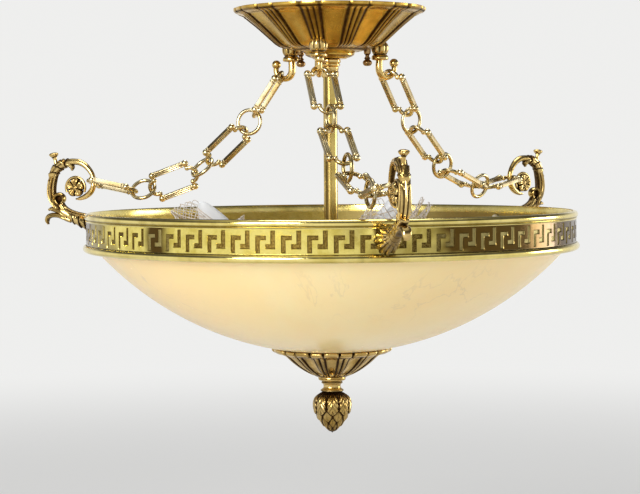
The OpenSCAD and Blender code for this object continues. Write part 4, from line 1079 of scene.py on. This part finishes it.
# Under the light the floor is matte and keeps its shadow, and further out it glows softly into the
# pale background.
floor_material, s = new_shader("pale_floor")
radius = s.make("ShaderNodeVectorMath", {"operation": "LENGTH"}, {0: s.place()}, "Value")
matte = s.make("ShaderNodeBsdfDiffuse", {}, {"Color": (0.80, 0.80, 0.79)})
glow = s.make("ShaderNodeEmission", {}, {"Color": PALE, "Strength": 1.0})
mixed = s.make("ShaderNodeMixShader", {}, {0: radius.step(0.6, 2.6), 1: matte, 2: glow})
s.make("ShaderNodeOutputMaterial", {}, {"Surface": mixed})
floor_mesh.materials.append(floor_material)

world = bpy.data.worlds.new("studio")
bpy.context.scene.world = world
world.use_nodes = True
# The camera sees the pale background all round. Metal and glass see it at the horizon, with a
# darker band above it for the brass to mirror and a pale zenith, and that dome, dimmed, lights the
# rest.
w = Shader(world.node_tree)
ray = w.make("ShaderNodeTexCoord", {}, {}, "Generated")
rise = w.make("ShaderNodeSeparateXYZ", {}, {0: ray}, "Z")
dome = (rise.step(0.1, 0.42) - rise.step(0.72, 0.94) * 0.8).blend(PALE, NIGHT)
seen = w.make("ShaderNodeLightPath", {}, {}, "Is Camera Ray")
mirrored = (w.make("ShaderNodeLightPath", {}, {}, "Is Glossy Ray")
            + w.make("ShaderNodeLightPath", {}, {}, "Is Transmission Ray")).clip()
dim = ((1 - mirrored) * 0.28).blend(dome, (0.0, 0.0, 0.0))
sky = w.make("ShaderNodeBackground", {}, {"Color": seen.blend(dim, PALE), "Strength": 1.0})
w.make("ShaderNodeOutputWorld", {}, {"Surface": sky})


def softbox(name, place, aim, size, power):
    """A square area lamp that points at a spot."""
    lamp = bpy.data.lights.new(name, "AREA")
    lamp.shape, lamp.size, lamp.energy = "SQUARE", size, power
    thing = add(name, lamp)
    thing.location = place
    thing.rotation_euler = (Vector(aim) - Vector(place)).to_track_quat("-Z", "Y").to_euler()


softbox("key_softbox", (-1.5, -1.8, 0.6), (0, 0, -0.2), 1.1, 54)
softbox("fill_softbox", (2.2, 0.3, -0.05), (0, 0, -0.25), 0.8, 16)
softbox("top_softbox", (0.2, 0.6, 1.5), (0, 0, -0.2), 0.9, 16)

# The photograph's viewpoint: the camera looks down and past the axis a little, and is rolled.
VIEW_AZIMUTH, VIEW_DISTANCE, VIEW_HEIGHT = -11.5, 1.667, -0.132
LOOK_DOWN, LOOK_LEFT, ROLL = 2.92, 0.33, 0.4
camera_data = bpy.data.cameras.new("photo_camera")
camera_data.lens, camera_data.sensor_width = 102.77, 36
camera = add("photo_camera", camera_data)
view = np.radians(VIEW_AZIMUTH)
camera.location = (np.sin(view) * VIEW_DISTANCE, -np.cos(view) * VIEW_DISTANCE, VIEW_HEIGHT)
camera.rotation_euler = (np.radians(90 - LOOK_DOWN), np.radians(ROLL),
                         np.radians(VIEW_AZIMUTH + LOOK_LEFT))
bpy.context.scene.camera = camera
bpy.context.scene.view_settings.view_transform = "Standard"
